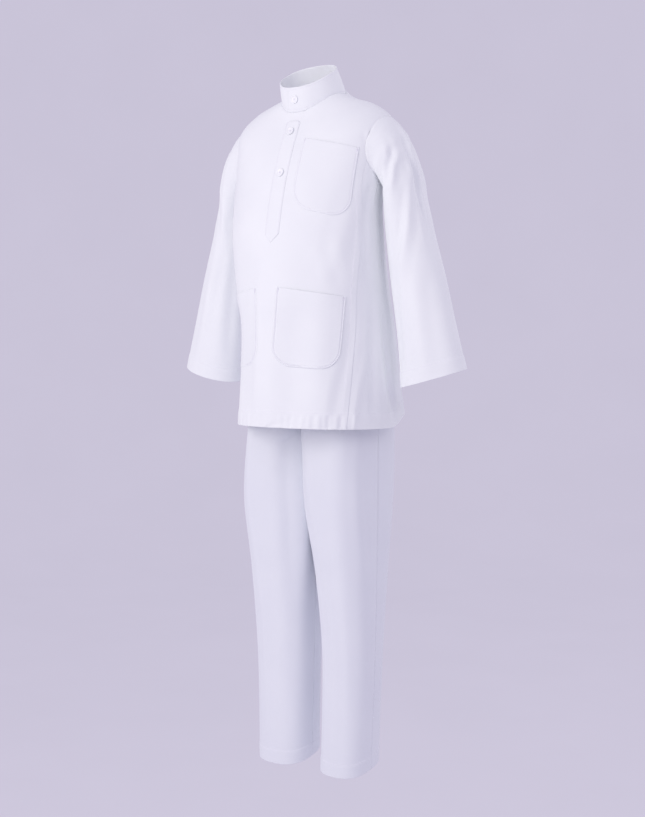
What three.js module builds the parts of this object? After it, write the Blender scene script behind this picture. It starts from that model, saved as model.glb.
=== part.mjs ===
// A baju melayu set: a long-sleeved tunic with a stand collar, and straight trousers.
// Millimetres, +Z up. The garment faces -Y, and the wearer's left is +X.
// The origin is the middle of the neck opening, where the wearer's neck holds the tunic.
import * as THREE from "three";

// ---------- Driving dimensions ----------
const WALL = 1.2;               // cloth thickness, with its turned edges
const SEAM_GAP = 0.3;           // gap left between two sewn pieces
const LAY_GAP = 0.75;           // gap under a piece that lies on a panel
const ROUNDNESS = 2.25;         // power of the oval sections, 2 is an ellipse

// Tunic sections from the hem up to the neck. Each is an oval through its side, front and back.
// left, right: half widths. y: middle of the section. z values: height at the side, front and back.
const TUNIC_SECTIONS = [
  { left: 164, right: 126, y: 20, front: -135, back: 139, sideZ: -567, frontZ: -564, backZ: -546 },
  { left: 154, right: 119, y: 10, front: -129, back: 117, sideZ: -405, frontZ: -405, backZ: -405 },
  { left: 147, right: 129, y: 0, front: -127, back: 105, sideZ: -330, frontZ: -330, backZ: -330 },
  { left: 143, right: 141, y: -12, front: -117, back: 96, sideZ: -249, frontZ: -249, backZ: -249 },
  { left: 143, right: 143, y: -14, front: -105, back: 85, sideZ: -184, frontZ: -184, backZ: -184 },
  { left: 150, right: 150, y: 2, front: -92, back: 76, sideZ: -120, frontZ: -136, backZ: -124 },
  { left: 158, right: 158, y: 14, front: -79, back: 69, sideZ: -74, frontZ: -98, backZ: -78 },
  { left: 160, right: 160, y: 20, front: -69, back: 62, sideZ: -41, frontZ: -74, backZ: -46 },
  { left: 147, right: 147, y: 20, front: -62, back: 59, sideZ: -22, frontZ: -57, backZ: -22 },
  { left: 117, right: 117, y: 17, front: -56, back: 54, sideZ: -3, frontZ: -44, backZ: 3 },
  { left: 86, right: 86, y: 10, front: -51, back: 48, sideZ: 7, frontZ: -32, backZ: 20 },
  { left: 62, right: 55, y: 8, front: -46, back: 46, sideZ: 17, frontZ: -16, backZ: 46 },
];
// The hem rises behind the side seam: between two angles, by a height, up to a section number.
const HEM_RISE = { from: 86, to: 108, height: 16, row: 0.6 };
const TUNIC_ROWS = [0, 0.3, 0.65, 1, 1.3, 1.65, 2, 2.5, 3, 3.5, 4, 4.6, 5.3, 5.8, 6.3, 6.8, 7.25,
  7.6, 8.3, 9, 10, 11];

// Armhole: an oval cut in the tunic, in degrees round the body and in section numbers.
const ARMHOLE = { angle: 90, row: 6.2, halfAngle: 29, halfRows: 1.4 };
const SEAM_TOP = 5.3;           // section number where the side panel seams reach the armhole
const SEAM_TURN = 3;            // section number where they start to turn towards the armhole

// Side panel seams, in degrees from the centre front, a row for each tunic section from the hem.
const SIDE_SEAMS = [
  { front: 52, side: 89, back: 134 },
  { front: 62, side: 84, back: 130 },
  { front: 67, side: 95, back: 126 },
  { front: 74, side: 98, back: 118 },
  { front: 78, side: 94, back: 108 },
  { front: 72, side: 90, back: 108 },
];

// Sleeve sections below the armhole: inner and outer edge, middle and half depth. The hold is how
// much the section keeps of the armhole's shape, away how much further out the right arm hangs, and
// rise how much higher it is behind.
const SLEEVE_SECTIONS = [
  { innerX: 153, innerZ: -148, outerX: 180, outerZ: -51, y: 20, depth: 46, hold: 0.5, away: 2, rise: 0 },
  { innerX: 152, innerZ: -160, outerX: 197, outerZ: -80, y: 23, depth: 47, hold: 0.2, away: 5, rise: 0 },
  { innerX: 151, innerZ: -176, outerX: 205, outerZ: -118, y: 25, depth: 47, hold: 0, away: 8, rise: 0 },
  { innerX: 149, innerZ: -200, outerX: 213, outerZ: -162, y: 27, depth: 46, hold: 0, away: 8, rise: 0 },
  { innerX: 151, innerZ: -242, outerX: 230, outerZ: -216, y: 28, depth: 45, hold: 0, away: 7, rise: 0 },
  { innerX: 160, innerZ: -320, outerX: 255, outerZ: -295, y: 28, depth: 44, hold: 0, away: 8, rise: 0 },
  { innerX: 173, innerZ: -410, outerX: 278, outerZ: -384, y: 28, depth: 43, hold: 0, away: 10, rise: 2 },
  { innerX: 179, innerZ: -495, outerX: 300, outerZ: -464, y: 28, depth: 42, hold: 0, away: 12, rise: 6 },
];
const SLEEVE_STEPS = [0.35, 0.7, 1, 1.5, 2, 2.5, 3, 3.6, 4.3, 5.2, 6.3, 7.2, 8];

// The collar's rim is an oval like the tunic's sections, and leans forward over the neck. The lap
// is in degrees past the centre front, and the lapped end lies flat again after the ease.
const COLLAR_RIM = {
  left: 53, right: 55, y: -6, front: -48, back: 28, sideZ: 53, frontZ: 25, backZ: 74,
};
const COLLAR = { lap: 13, ease: 30 };
const PLACKET = { width: 30, topZ: -32, bottomZ: -232, point: 15, shoulder: 4 };
// Pockets: where the near top corner starts from the centre front, the drop of the top and bottom
// edges across the pocket, and how far its lower end leans.
const CHEST_POCKET = {
  start: 33, width: 107, topZ: -66, topDrop: 22, bottomDrop: 24, lean: 0, depth: 120, corner: 36,
};
const LOWER_POCKET = {
  start: 22, width: 122, topZ: -324, topDrop: 17, bottomDrop: 7, lean: -8, depth: 134, corner: 36,
};
// The edge is the small rounding of the rim, and the slope leads down to the sunk middle.
const BUTTON = { radius: 7.2, thick: 2.4, rim: 1.5, sunk: 0.8, edge: 0.7, slope: 0.8, sides: 16 };
const BUTTON_HEIGHTS = [-52, -126];

// Trouser sections from the waist down. Above the crotch the two legs share one oval. The rise is
// how much higher a leg's section is behind, and the squareness how full its corners are.
const HIP_SECTIONS = [
  { left: 118, right: 105, y: 16, front: -70, back: 90, z: -402 },
  { left: 132, right: 111, y: 20, front: -90, back: 104, z: -455 },
  { left: 136, right: 120.8, y: 22, front: -96, back: 110, z: -515 },
];
const LEG_SECTIONS = [
  { innerLeft: 0.2, innerRight: 0.2, left: 129, right: 120, y: 24, depth: 92, z: -575, rise: 0, square: 3 },
  { innerLeft: 2, innerRight: 2, left: 127, right: 134, y: 26, depth: 86, z: -700, rise: 0, square: 3.4 },
  { innerLeft: 17, innerRight: 10, left: 124, right: 131, y: 28, depth: 68, z: -840, rise: 0, square: 3 },
  { innerLeft: 24, innerRight: 15, left: 120, right: 128, y: 29, depth: 56, z: -990, rise: 6, square: 2.7 },
  { innerLeft: 20, innerRight: 18, left: 114, right: 122, y: 26, depth: 52, z: -1196, rise: 21, square: 2.6 },
];
const WAISTBAND_HEIGHT = 30;

const CLOTH_COLOUR = 0xf3f2fb;
const BUTTON_COLOUR = 0xf7f6fa;

// ---------- Small helpers ----------
const rad = THREE.MathUtils.degToRad;
const mix = THREE.MathUtils.lerp;
const smooth = (t) => THREE.MathUtils.smoothstep(t, 0, 1);
const TINY = 1e-6;
const group = new THREE.Group();

// A value of one column at a fractional row, on a smooth curve through the table.
function column(table, name, row) {
  const last = table.length - 1;
  const index = Math.min(Math.floor(row), last - 1);
  const at = (k) => table[THREE.MathUtils.clamp(k, 0, last)][name];
  const t = row - index;
  const before = (at(index + 1) - at(index - 1)) / 2;
  const after = (at(index + 2) - at(index)) / 2;
  const rise = at(index + 1) - at(index);
  const square = t * t;
  const cube = square * t;
  return at(index) + before * (cube - 2 * square + t)
    + rise * (3 * square - 2 * cube) + after * (cube - square);
}

// A power of a sine or cosine that keeps its sign.
const softPower = (value, power = ROUNDNESS) => Math.sign(value) * Math.abs(value) ** (2 / power);

// A point of the tunic, or of other ovals like it, at an angle from the centre front and a
// section number.
function tunicPoint(angle, row, sections = TUNIC_SECTIONS) {
  const sine = Math.sin(rad(angle));
  const cosine = Math.cos(rad(angle));
  const half = column(sections, sine > 0 ? "left" : "right", row);
  const middle = column(sections, "y", row);
  const edge = column(sections, cosine > 0 ? "front" : "back", row);
  const sideZ = column(sections, "sideZ", row);
  const edgeZ = column(sections, cosine > 0 ? "frontZ" : "backZ", row);
  const behind = Math.abs(THREE.MathUtils.euclideanModulo(angle + 180, 360) - 180);
  const rise = HEM_RISE.height * smooth((behind - HEM_RISE.from) / (HEM_RISE.to - HEM_RISE.from))
    * Math.max(0, 1 - row / HEM_RISE.row);
  return new THREE.Vector3(
    half * softPower(sine),
    middle + (edge - middle) * Math.abs(softPower(cosine)),
    mix(sideZ, edgeZ, cosine * cosine) + rise,
  );
}

// Outward normals at the points of a grid rows[j][i]. A tube joins its last column to its first.
function gridNormals(rows, tube = false) {
  const count = rows[0].length;
  const normals = rows.map((row) => row.map(() => new THREE.Vector3()));
  for (let j = 0; j < rows.length - 1; j += 1) {
    for (let i = 0; i < (tube ? count : count - 1); i += 1) {
      const corners = [[j, i], [j, (i + 1) % count], [j + 1, (i + 1) % count], [j + 1, i]];
      const [a, b, c, d] = corners.map(([row, k]) => rows[row][k]);
      const normal = c.clone().sub(a).cross(d.clone().sub(b));
      corners.forEach(([row, k]) => normals[row][k].add(normal));
    }
  }
  normals.flat().forEach((normal) => normal.normalize());
  return normals;
}

// A closed cloth wall on a grid of points, thickened inwards.
function clothGeometry(rows, tube = false, normals = gridNormals(rows, tube)) {
  const count = rows[0].length;
  const spans = tube ? count : count - 1;
  const outer = rows.flat();
  const inner = outer.map((p, k) => p.clone().addScaledVector(normals.flat()[k], -WALL));
  const size = outer.length;
  const at = (j, i) => j * count + (i % count);
  const triangles = [];
  const face = (a, b, c) => triangles.push(a, b, c, size + a, size + c, size + b);
  const skirt = (a, b) => triangles.push(a, size + a, size + b, a, size + b, b);
  const last = rows.length - 1;
  for (let i = 0; i < spans; i += 1) {
    for (let j = 0; j < last; j += 1) {
      face(at(j, i), at(j, i + 1), at(j + 1, i + 1));
      face(at(j, i), at(j + 1, i + 1), at(j + 1, i));
    }
    skirt(at(0, i), at(0, i + 1));
    skirt(at(last, i + 1), at(last, i));
  }
  for (let j = 0; j < last && !tube; j += 1) {
    skirt(at(j + 1, 0), at(j, 0));
    skirt(at(j, count - 1), at(j + 1, count - 1));
  }
  const geometry = new THREE.BufferGeometry();
  const flat = outer.concat(inner).flatMap((p) => [p.x, p.y, p.z]);
  geometry.setAttribute("position", new THREE.Float32BufferAttribute(flat, 3));
  geometry.setIndex(triangles);
  return geometry;
}

// A sewn panel. Its grid has one more column past each seam, only to find the cloth's direction,
// and its two seams are pulled in by half a gap.
function panelGeometry(padded) {
  const normals = gridNormals(padded).map((row) => row.slice(1, -1));
  const rows = padded.map((row) => row.slice(1, -1).map((p) => p.clone()));
  const pull = (point, target) => {
    const step = target.clone().sub(point).setLength(SEAM_GAP / 2);
    return point.clone().add(step);
  };
  const last = rows[0].length - 1;
  for (const row of rows) {
    row[0] = pull(row[0], row[1]);
    row[last] = pull(row[last], row[last - 1]);
  }
  return clothGeometry(rows, false, normals);
}

// Shares of a panel's width, with one more past each seam.
const panelShares = (columns) => Array.from({ length: columns + 3 }, (_, i) => (i - 1) / columns);

function addPiece(name, geometry, colour = CLOTH_COLOUR, roughness = 0.85) {
  const material = new THREE.MeshStandardMaterial({ color: colour, roughness, metalness: 0 });
  material.name = name;
  const mesh = new THREE.Mesh(geometry, material);
  mesh.name = name;
  group.add(mesh);
  return mesh;
}

// The same grid seen from the other side of the body.
const mirrored = (rows) => rows.map((row) => row.slice().reverse());

// ---------- Armhole and seams ----------
const armholeTop = ARMHOLE.row + ARMHOLE.halfRows;

// Half of the armhole's opening at a section number, in degrees.
function armholeReach(row) {
  const offset = (row - ARMHOLE.row) / ARMHOLE.halfRows;
  return ARMHOLE.halfAngle * Math.sqrt(Math.max(0, 1 - offset * offset));
}

// Lowest section number of the armhole at an angle.
function armholeFloor(angle) {
  const offset = (angle - ARMHOLE.angle) / ARMHOLE.halfAngle;
  return ARMHOLE.row - ARMHOLE.halfRows * Math.sqrt(Math.max(0, 1 - offset * offset));
}

const seamAngle = (name, row) => column(SIDE_SEAMS, name, Math.min(row, SIDE_SEAMS.length - 1));

// How far the seams have turned from their own line to the armhole, at a section number.
const seamTurn = (row) => smooth((row - SEAM_TURN) / (SEAM_TOP - SEAM_TURN));

// The side edge of the front or back at a section number: side seam, armhole, then shoulder seam.
function bodyEdge(row, side) {
  if (row <= SEAM_TOP) {
    const seam = seamAngle(side > 0 ? "back" : "front", row);
    const top = ARMHOLE.angle + side * armholeReach(SEAM_TOP);
    return mix(seam, top, seamTurn(row));
  }
  return ARMHOLE.angle + side * armholeReach(row);
}

// ---------- Tunic panels ----------
const BODY_COLUMNS = 16;
const SIDE_COLUMNS = 3;

function bodyPanel(from, to) {
  return TUNIC_ROWS.map((row) => {
    const start = from(row);
    const end = to(row);
    return panelShares(BODY_COLUMNS).map((share) => tunicPoint(mix(start, end, share), row));
  });
}

const frontRows = bodyPanel((row) => -bodyEdge(row, -1), (row) => bodyEdge(row, -1));
const backRows = bodyPanel((row) => bodyEdge(row, 1), (row) => 360 - bodyEdge(row, 1));
addPiece("body_front", panelGeometry(frontRows));
addPiece("body_back", panelGeometry(backRows));

// Angle and section number of a side panel's point: share 0 is the body seam, 1 the side seam.
function sidePanelPlace(side, share, row) {
  const seam = bodyEdge(row, side);
  const middle = mix(seamAngle("side", row), ARMHOLE.angle, seamTurn(row));
  const topAngle = mix(bodyEdge(SEAM_TOP, side), ARMHOLE.angle, share);
  const scale = armholeFloor(topAngle) / SEAM_TOP;
  return { angle: mix(seam, middle, share), row: row * scale };
}

const sideRows = TUNIC_ROWS.filter((row) => row <= SEAM_TOP);
for (const [label, hand] of [["left", 1], ["right", -1]]) {
  for (const [place, side] of [["front", -1], ["back", 1]]) {
    const rows = sideRows.map((row) => panelShares(SIDE_COLUMNS).map((share) => {
      const spot = sidePanelPlace(side, share, row);
      return tunicPoint(hand * spot.angle, spot.row);
    }));
    const outward = side * hand < 0 ? rows : mirrored(rows);
    addPiece(`side_${place}_${label}`, panelGeometry(outward));
  }
}

// ---------- Sleeves ----------
// The armhole's places in order: up the front, down the back, then under the arm.
function armholeLoop() {
  const upper = TUNIC_ROWS.filter((row) => row >= SEAM_TOP && row < armholeTop + TINY);
  const front = upper.map((row) => ({ angle: bodyEdge(row, -1), row }));
  const back = upper.map((row) => ({ angle: bodyEdge(row, 1), row })).reverse().slice(1);
  const under = [];
  for (let i = 1; i <= SIDE_COLUMNS; i += 1) {
    under.push(sidePanelPlace(1, i / SIDE_COLUMNS, SEAM_TOP));
  }
  for (let i = SIDE_COLUMNS - 1; i > 0; i -= 1) {
    under.push(sidePanelPlace(-1, i / SIDE_COLUMNS, SEAM_TOP));
  }
  return [...front, ...back, ...under];
}

const ARMHOLE_SEAM = 0.992;     // the sleeve's edge is this share of the armhole's size

function sleeveRows(hand) {
  const loop = armholeLoop();
  const seam = loop.map(({ angle, row }) => tunicPoint(
    hand * mix(ARMHOLE.angle, angle, ARMHOLE_SEAM), mix(ARMHOLE.row, row, ARMHOLE_SEAM)));
  const turns = loop.map(({ angle, row }) => Math.atan2(
    (row - ARMHOLE.row) / ARMHOLE.halfRows, (angle - ARMHOLE.angle) / ARMHOLE.halfAngle));
  const rings = SLEEVE_STEPS.map((step) => {
    const row = Math.max(step - 1, 0);
    const value = (name) => column(SLEEVE_SECTIONS, name, row);
    const away = hand < 0 ? value("away") : 0;
    const inner = new THREE.Vector3(value("innerX") + away, 0, value("innerZ"));
    const outer = new THREE.Vector3(value("outerX") + away, 0, value("outerZ"));
    const centre = inner.clone().add(outer).multiplyScalar(0.5).setY(value("y"));
    const reach = outer.clone().sub(inner).multiplyScalar(0.5);
    return turns.map((turn, i) => {
      const target = centre.clone().addScaledVector(reach, Math.sin(turn));
      target.y += value("depth") * Math.cos(turn);
      target.z += value("rise") * Math.cos(turn);
      target.x *= hand;
      const hold = step < 1 ? 1 - step * (1 - value("hold")) : value("hold");
      return target.lerp(seam[i], hold);
    });
  });
  const rows = [seam, ...rings].reverse();
  return hand > 0 ? rows : mirrored(rows);
}

addPiece("sleeve_left", clothGeometry(sleeveRows(1), true));
addPiece("sleeve_right", clothGeometry(sleeveRows(-1), true));

// ---------- Collar ----------
const neckRow = TUNIC_SECTIONS.length - 1;
const COLLAR_COLUMNS = 36;
const COLLAR_LEVELS = [0, 0.5, 1];

// A point of the collar's rim, whose height runs smoothly from the front to the back.
function rimPoint(angle) {
  const { sideZ, frontZ, backZ } = COLLAR_RIM;
  const cosine = Math.cos(rad(angle));
  const point = tunicPoint(angle, 1, [TUNIC_SECTIONS[neckRow], COLLAR_RIM]);
  point.z = sideZ + cosine * (frontZ - backZ) / 2 + cosine * cosine * ((frontZ + backZ) / 2 - sideZ);
  return point;
}

// A point of the collar: the angle runs from the left end, round the neck, to the right end.
function collarPoint(angle, level) {
  const base = tunicPoint(angle, neckRow).lerp(rimPoint(angle), level);
  const outward = new THREE.Vector3(base.x, base.y, 0).normalize();
  const over = 1 - smooth((angle - COLLAR.lap) / COLLAR.ease);
  base.addScaledVector(outward, over * (WALL + LAY_GAP));
  base.z += 2 * SEAM_GAP;
  return base;
}

const collarRows = COLLAR_LEVELS.map((level) => (
  Array.from({ length: COLLAR_COLUMNS + 1 }, (_, i) => (
    collarPoint(mix(-COLLAR.lap, 360 + COLLAR.lap, i / COLLAR_COLUMNS), level)))));
addPiece("collar", clothGeometry(collarRows));

// ---------- Pieces laid on the tunic ----------
// Section number where the tunic has a given height at an angle.
function rowAtHeight(angle, z) {
  let low = 0;
  let high = neckRow;
  for (let i = 0; i < 24; i += 1) {
    const middle = (low + high) / 2;
    if (tunicPoint(angle, middle).z < z) low = middle;
    else high = middle;
  }
  return (low + high) / 2;
}

// The tunic's point at a distance round the body from the centre front, raised off the cloth.
function laidPoint(distance, z, lift) {
  const hand = Math.sign(distance) || 1;
  let angle = 0;
  let walked = 0;
  let last = tunicPoint(0, rowAtHeight(0, z));
  while (walked < Math.abs(distance)) {
    const next = tunicPoint(hand * (angle + 1), rowAtHeight(hand * (angle + 1), z));
    const step = next.distanceTo(last);
    const share = Math.min(1, (Math.abs(distance) - walked) / step);
    angle += share;
    walked += step * share + (share < 1 ? TINY : 0);
    last = next;
  }
  const place = hand * angle;
  const row = rowAtHeight(place, z);
  const along = tunicPoint(place + 0.5, row).sub(tunicPoint(place - 0.5, row));
  const up = tunicPoint(place, row + 0.02).sub(tunicPoint(place, row - 0.02));
  const normal = along.cross(up).normalize();
  return { point: tunicPoint(place, row).addScaledVector(normal, lift), normal };
}

// A patch between two distances, with its own top and bottom edge at each share of its width.
// Its lower end leans sideways.
function laidPatch(from, to, columns, levels, topAt, bottomAt, lean = 0) {
  const place = (share, level) => {
    const z = mix(bottomAt(share), topAt(share), level);
    const distance = mix(from, to, share) + lean * (1 - level);
    return laidPoint(distance, z, WALL + LAY_GAP).point;
  };
  return Array.from({ length: levels + 1 }, (_, j) => (
    Array.from({ length: columns + 1 }, (__, i) => place(i / columns, j / levels))));
}

// Drop of a rounded lower corner at a share of the width.
function cornerRise(share, width, corner) {
  const inset = corner - Math.min(share, 1 - share) * width;
  return inset > 0 ? corner - Math.sqrt(Math.max(0, corner * corner - inset * inset)) : 0;
}

const POCKET_COLUMNS = 12;
const POCKET_LEVELS = 6;

function pocketRows(pocket, hand) {
  const top = (share) => pocket.topZ - pocket.topDrop * share;
  const bottom = (share) => pocket.topZ - pocket.depth - pocket.bottomDrop * share
    + cornerRise(share, pocket.width, pocket.corner);
  const flip = (at) => (hand > 0 ? at : (share) => at(1 - share));
  const near = hand * pocket.start;
  const far = hand * (pocket.start + pocket.width);
  const [from, to] = hand > 0 ? [near, far] : [far, near];
  return laidPatch(from, to, POCKET_COLUMNS, POCKET_LEVELS, flip(top), flip(bottom), hand * pocket.lean);
}

addPiece("pocket_chest", clothGeometry(pocketRows(CHEST_POCKET, 1)));
addPiece("pocket_left", clothGeometry(pocketRows(LOWER_POCKET, 1)));
addPiece("pocket_right", clothGeometry(pocketRows(LOWER_POCKET, -1)));

const PLACKET_COLUMNS = 4;
const PLACKET_LEVELS = 14;
const placketHalf = PLACKET.width / 2;
const fromMiddle = (share) => Math.abs(share - 0.5) * 2;
const placketRows = laidPatch(
  -placketHalf, placketHalf, PLACKET_COLUMNS, PLACKET_LEVELS,
  (share) => PLACKET.topZ - PLACKET.shoulder * fromMiddle(share) ** 3,
  (share) => PLACKET.bottomZ - PLACKET.point * (1 - fromMiddle(share)),
);
addPiece("placket", clothGeometry(placketRows));

// ---------- Buttons ----------
function buttonGeometry() {
  const { radius, thick, rim, sunk, edge, slope } = BUTTON;
  const profile = [
    [0, 0], [radius - edge, 0], [radius, edge], [radius, thick - edge], [radius - edge, thick],
    [radius - rim, thick], [radius - rim - slope, thick - sunk], [0, thick - sunk],
  ].map(([x, y]) => new THREE.Vector2(x, y));
  const geometry = new THREE.LatheGeometry(profile, BUTTON.sides);
  return geometry.rotateX(Math.PI / 2);
}

// A button on the cloth, its back against the piece that it is sewn to.
function addButton(name, point, normal) {
  const mesh = addPiece(name, buttonGeometry(), BUTTON_COLOUR, 0.3);
  mesh.quaternion.setFromUnitVectors(new THREE.Vector3(0, 0, 1), normal);
  mesh.position.copy(point).addScaledVector(normal, SEAM_GAP);
}

const collarRise = collarPoint(0, 1).sub(collarPoint(0, 0));
const collarRun = collarPoint(1, 0.5).sub(collarPoint(-1, 0.5));
addButton("button_1", collarPoint(0, 0.5), collarRun.cross(collarRise).normalize());
BUTTON_HEIGHTS.forEach((z, i) => {
  const spot = laidPoint(0, z, WALL + LAY_GAP);
  addButton(`button_${i + 2}`, spot.point, spot.normal);
});

// ---------- Trousers ----------
const LEG_COLUMNS = 8;
const LEG_ROWS = [0, 0.5, 1, 1.5, 2, 2.3, 2.6, 2.8, 3, 3.4, 4, 4.6, 5.2, 6, 7];
const hipCount = HIP_SECTIONS.length;

// A point of a leg panel. Hand 1 is the left leg, side -1 the front panel, share 0 its inner edge
// and share 1 its side seam.
function legPoint(hand, side, share, row) {
  const label = hand > 0 ? "left" : "right";
  const hipRow = Math.min(row, hipCount - 1);
  const legRow = Math.max(row - hipCount, 0);
  const hip = (name) => column(HIP_SECTIONS, name, hipRow);
  const leg = (name) => column(LEG_SECTIONS, name, legRow);
  const turn = rad(90 * share);
  const edge = side < 0 ? hip("front") : hip("back");
  const hipPoint = new THREE.Vector3(
    hip(label) * softPower(Math.sin(turn)),
    hip("y") + (edge - hip("y")) * softPower(Math.cos(turn)),
    hip("z"),
  );
  const swing = rad(180 * share);
  const forward = side * softPower(Math.sin(swing), leg("square"));
  const inner = leg(hand > 0 ? "innerLeft" : "innerRight");
  const legPlace = new THREE.Vector3(
    mix(inner, leg(label), (1 - softPower(Math.cos(swing), leg("square"))) / 2),
    leg("y") + leg("depth") * forward,
    leg("z") + leg("rise") * (1 + forward) / 2,
  );
  const parted = smooth(row - hipCount + 1);
  const point = hipPoint.lerp(legPlace, parted);
  point.x *= hand;
  return point;
}

for (const [label, hand] of [["left", 1], ["right", -1]]) {
  for (const [place, side] of [["front", -1], ["back", 1]]) {
    const rows = LEG_ROWS.slice().reverse().map((row) => (
      panelShares(LEG_COLUMNS).map((share) => legPoint(hand, side, share, row))));
    const outward = side * hand < 0 ? rows : mirrored(rows);
    addPiece(`leg_${place}_${label}`, panelGeometry(outward));
  }
}

const waistRows = [SEAM_GAP, WAISTBAND_HEIGHT].map((rise) => (
  Array.from({ length: 4 * LEG_COLUMNS }, (_, i) => {
    const angle = (360 * i) / (4 * LEG_COLUMNS);
    const side = Math.cos(rad(angle)) > 0 ? -1 : 1;
    const fold = angle % 180 > 90 ? 180 - (angle % 180) : angle % 180;
    const point = legPoint(angle > 180 ? -1 : 1, side, fold / 90, 0);
    point.z += rise;
    return point;
  })));
addPiece("waistband", clothGeometry(waistRows, true));

export default group;
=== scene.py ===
# %% [markdown]
# # A baju melayu set
# A baju melayu is the Malay man's loose tunic, worn over straight trousers. It is cut from a few
# flat pieces of white poplin: a front, a back, two side panels under each arm, two sleeves with no
# cuff, a stand collar, a placket and three patch pockets. Every piece here is a thin cloth shell
# on the form that the imported CAD model gives, and the small creases are placed on it.

# %% Load the imported model as the frame
import math
import bpy
import numpy as np
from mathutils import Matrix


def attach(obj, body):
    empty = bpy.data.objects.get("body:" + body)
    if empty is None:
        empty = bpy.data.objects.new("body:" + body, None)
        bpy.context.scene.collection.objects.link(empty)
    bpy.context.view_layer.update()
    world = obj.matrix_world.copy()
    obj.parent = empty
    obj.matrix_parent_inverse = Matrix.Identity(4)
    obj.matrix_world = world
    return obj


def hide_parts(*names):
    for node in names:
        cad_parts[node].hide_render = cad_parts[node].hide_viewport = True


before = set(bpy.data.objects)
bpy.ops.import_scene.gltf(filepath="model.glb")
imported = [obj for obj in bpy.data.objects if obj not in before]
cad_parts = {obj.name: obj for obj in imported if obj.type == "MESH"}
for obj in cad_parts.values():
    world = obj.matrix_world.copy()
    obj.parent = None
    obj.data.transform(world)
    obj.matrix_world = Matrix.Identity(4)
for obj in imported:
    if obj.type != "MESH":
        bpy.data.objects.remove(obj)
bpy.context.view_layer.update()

# %% [markdown]
# ## The camera
# The garment stands in its own frame: +Z up, its front to -Y, and the origin in the neck opening.
# A portrait lens from a few metres away keeps the sides nearly parallel. The camera stands at the
# wearer's left of the front, a little above the hips, and looks slightly down.

# %% Make the camera
AZIMUTH = math.radians(36)          # how far round to the wearer's left
PITCH = math.radians(3.637)         # how far down it looks
DISTANCE = 2.421                    # metres from the neck's axis
SIDE_STEP = 0.020                   # and this far to its own right
CAMERA_HEIGHT = -0.385              # metres, from the neck opening
LENS = 59.27                        # millimetres, on a sensor this wide:
SENSOR = 36


def make_camera():
    data = bpy.data.cameras.new("camera")
    data.lens = LENS
    data.sensor_width = SENSOR
    camera = bpy.data.objects.new("camera", data)
    bpy.context.collection.objects.link(camera)
    camera.location = (
        DISTANCE * math.sin(AZIMUTH) + SIDE_STEP * math.cos(AZIMUTH),
        -DISTANCE * math.cos(AZIMUTH) + SIDE_STEP * math.sin(AZIMUTH),
        CAMERA_HEIGHT,
    )
    camera.rotation_euler = (math.pi / 2 - PITCH, 0, AZIMUTH)
    bpy.context.scene.camera = camera
    return camera


print("camera at", [round(v, 3) for v in make_camera().location])

# %% [markdown]
# ## Colours and nodes
# Colours are picked as sRGB hex values, as on any screen, but a shader works with linear light, so
# one function turns the first into the second. One more adds a node, sets its options, and fills
# its inputs with numbers or with links. Every material starts empty and ends in the same shader.

# %% Small helpers for materials
def linear(hex_colour):
    parts = [int(hex_colour[i:i + 2], 16) / 255 for i in (1, 3, 5)]
    curve = [p / 12.92 if p <= 0.04045 else ((p + 0.055) / 1.055) ** 2.4 for p in parts]
    return (*curve, 1.0)


def add_node(material, kind, inputs=None, **options):
    tree = material.node_tree
    node = tree.nodes.new(kind)
    for name, value in options.items():
        setattr(node, name, value)
    for name, value in (inputs or {}).items():
        if isinstance(value, bpy.types.NodeSocket):
            tree.links.new(value, node.inputs[name])
        else:
            node.inputs[name].default_value = value
    return node


def new_material(name):
    material = bpy.data.materials.new(name)
    material.use_nodes = True
    material.node_tree.nodes.clear()
    return material


def finished(material, inputs):
    """The material with its surface shader, given that shader's inputs."""
    shader = add_node(material, "ShaderNodeBsdfPrincipled", inputs)
    add_node(material, "ShaderNodeOutputMaterial", {"Surface": shader.outputs["BSDF"]})
    return material


print("mid grey, #808080, is", round(linear("#808080")[0], 3), "in linear light")

# %% [markdown]
# ## Poplin, the tunic's cloth
# School and festive baju melayu are mostly a polyester and cotton poplin: a plain weave, one
# thread over and one under, bleached white and pressed. It is matt with a very soft sheen. The real
# threads are 0.25 mm apart, far too fine to see, so the weave is drawn at 1.1 mm and faint. The
# eye mostly gets the slubs, where a thread is thicker for a few millimetres, and a slow change of
# tone where the cloth was pressed. Each piece carries a UV map named "cloth", in metres along the
# threads, so that the weave turns with the cloth.

# %% Make the woven cloths
THREAD_PITCH = 0.0011               # metres, drawn coarser than the real 0.00025
SLUB_LENGTH = 0.012
PRESSED_PATCH = 0.09
WAVE_PERIOD = 0.314                 # how often a wave texture of scale 1 repeats


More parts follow.
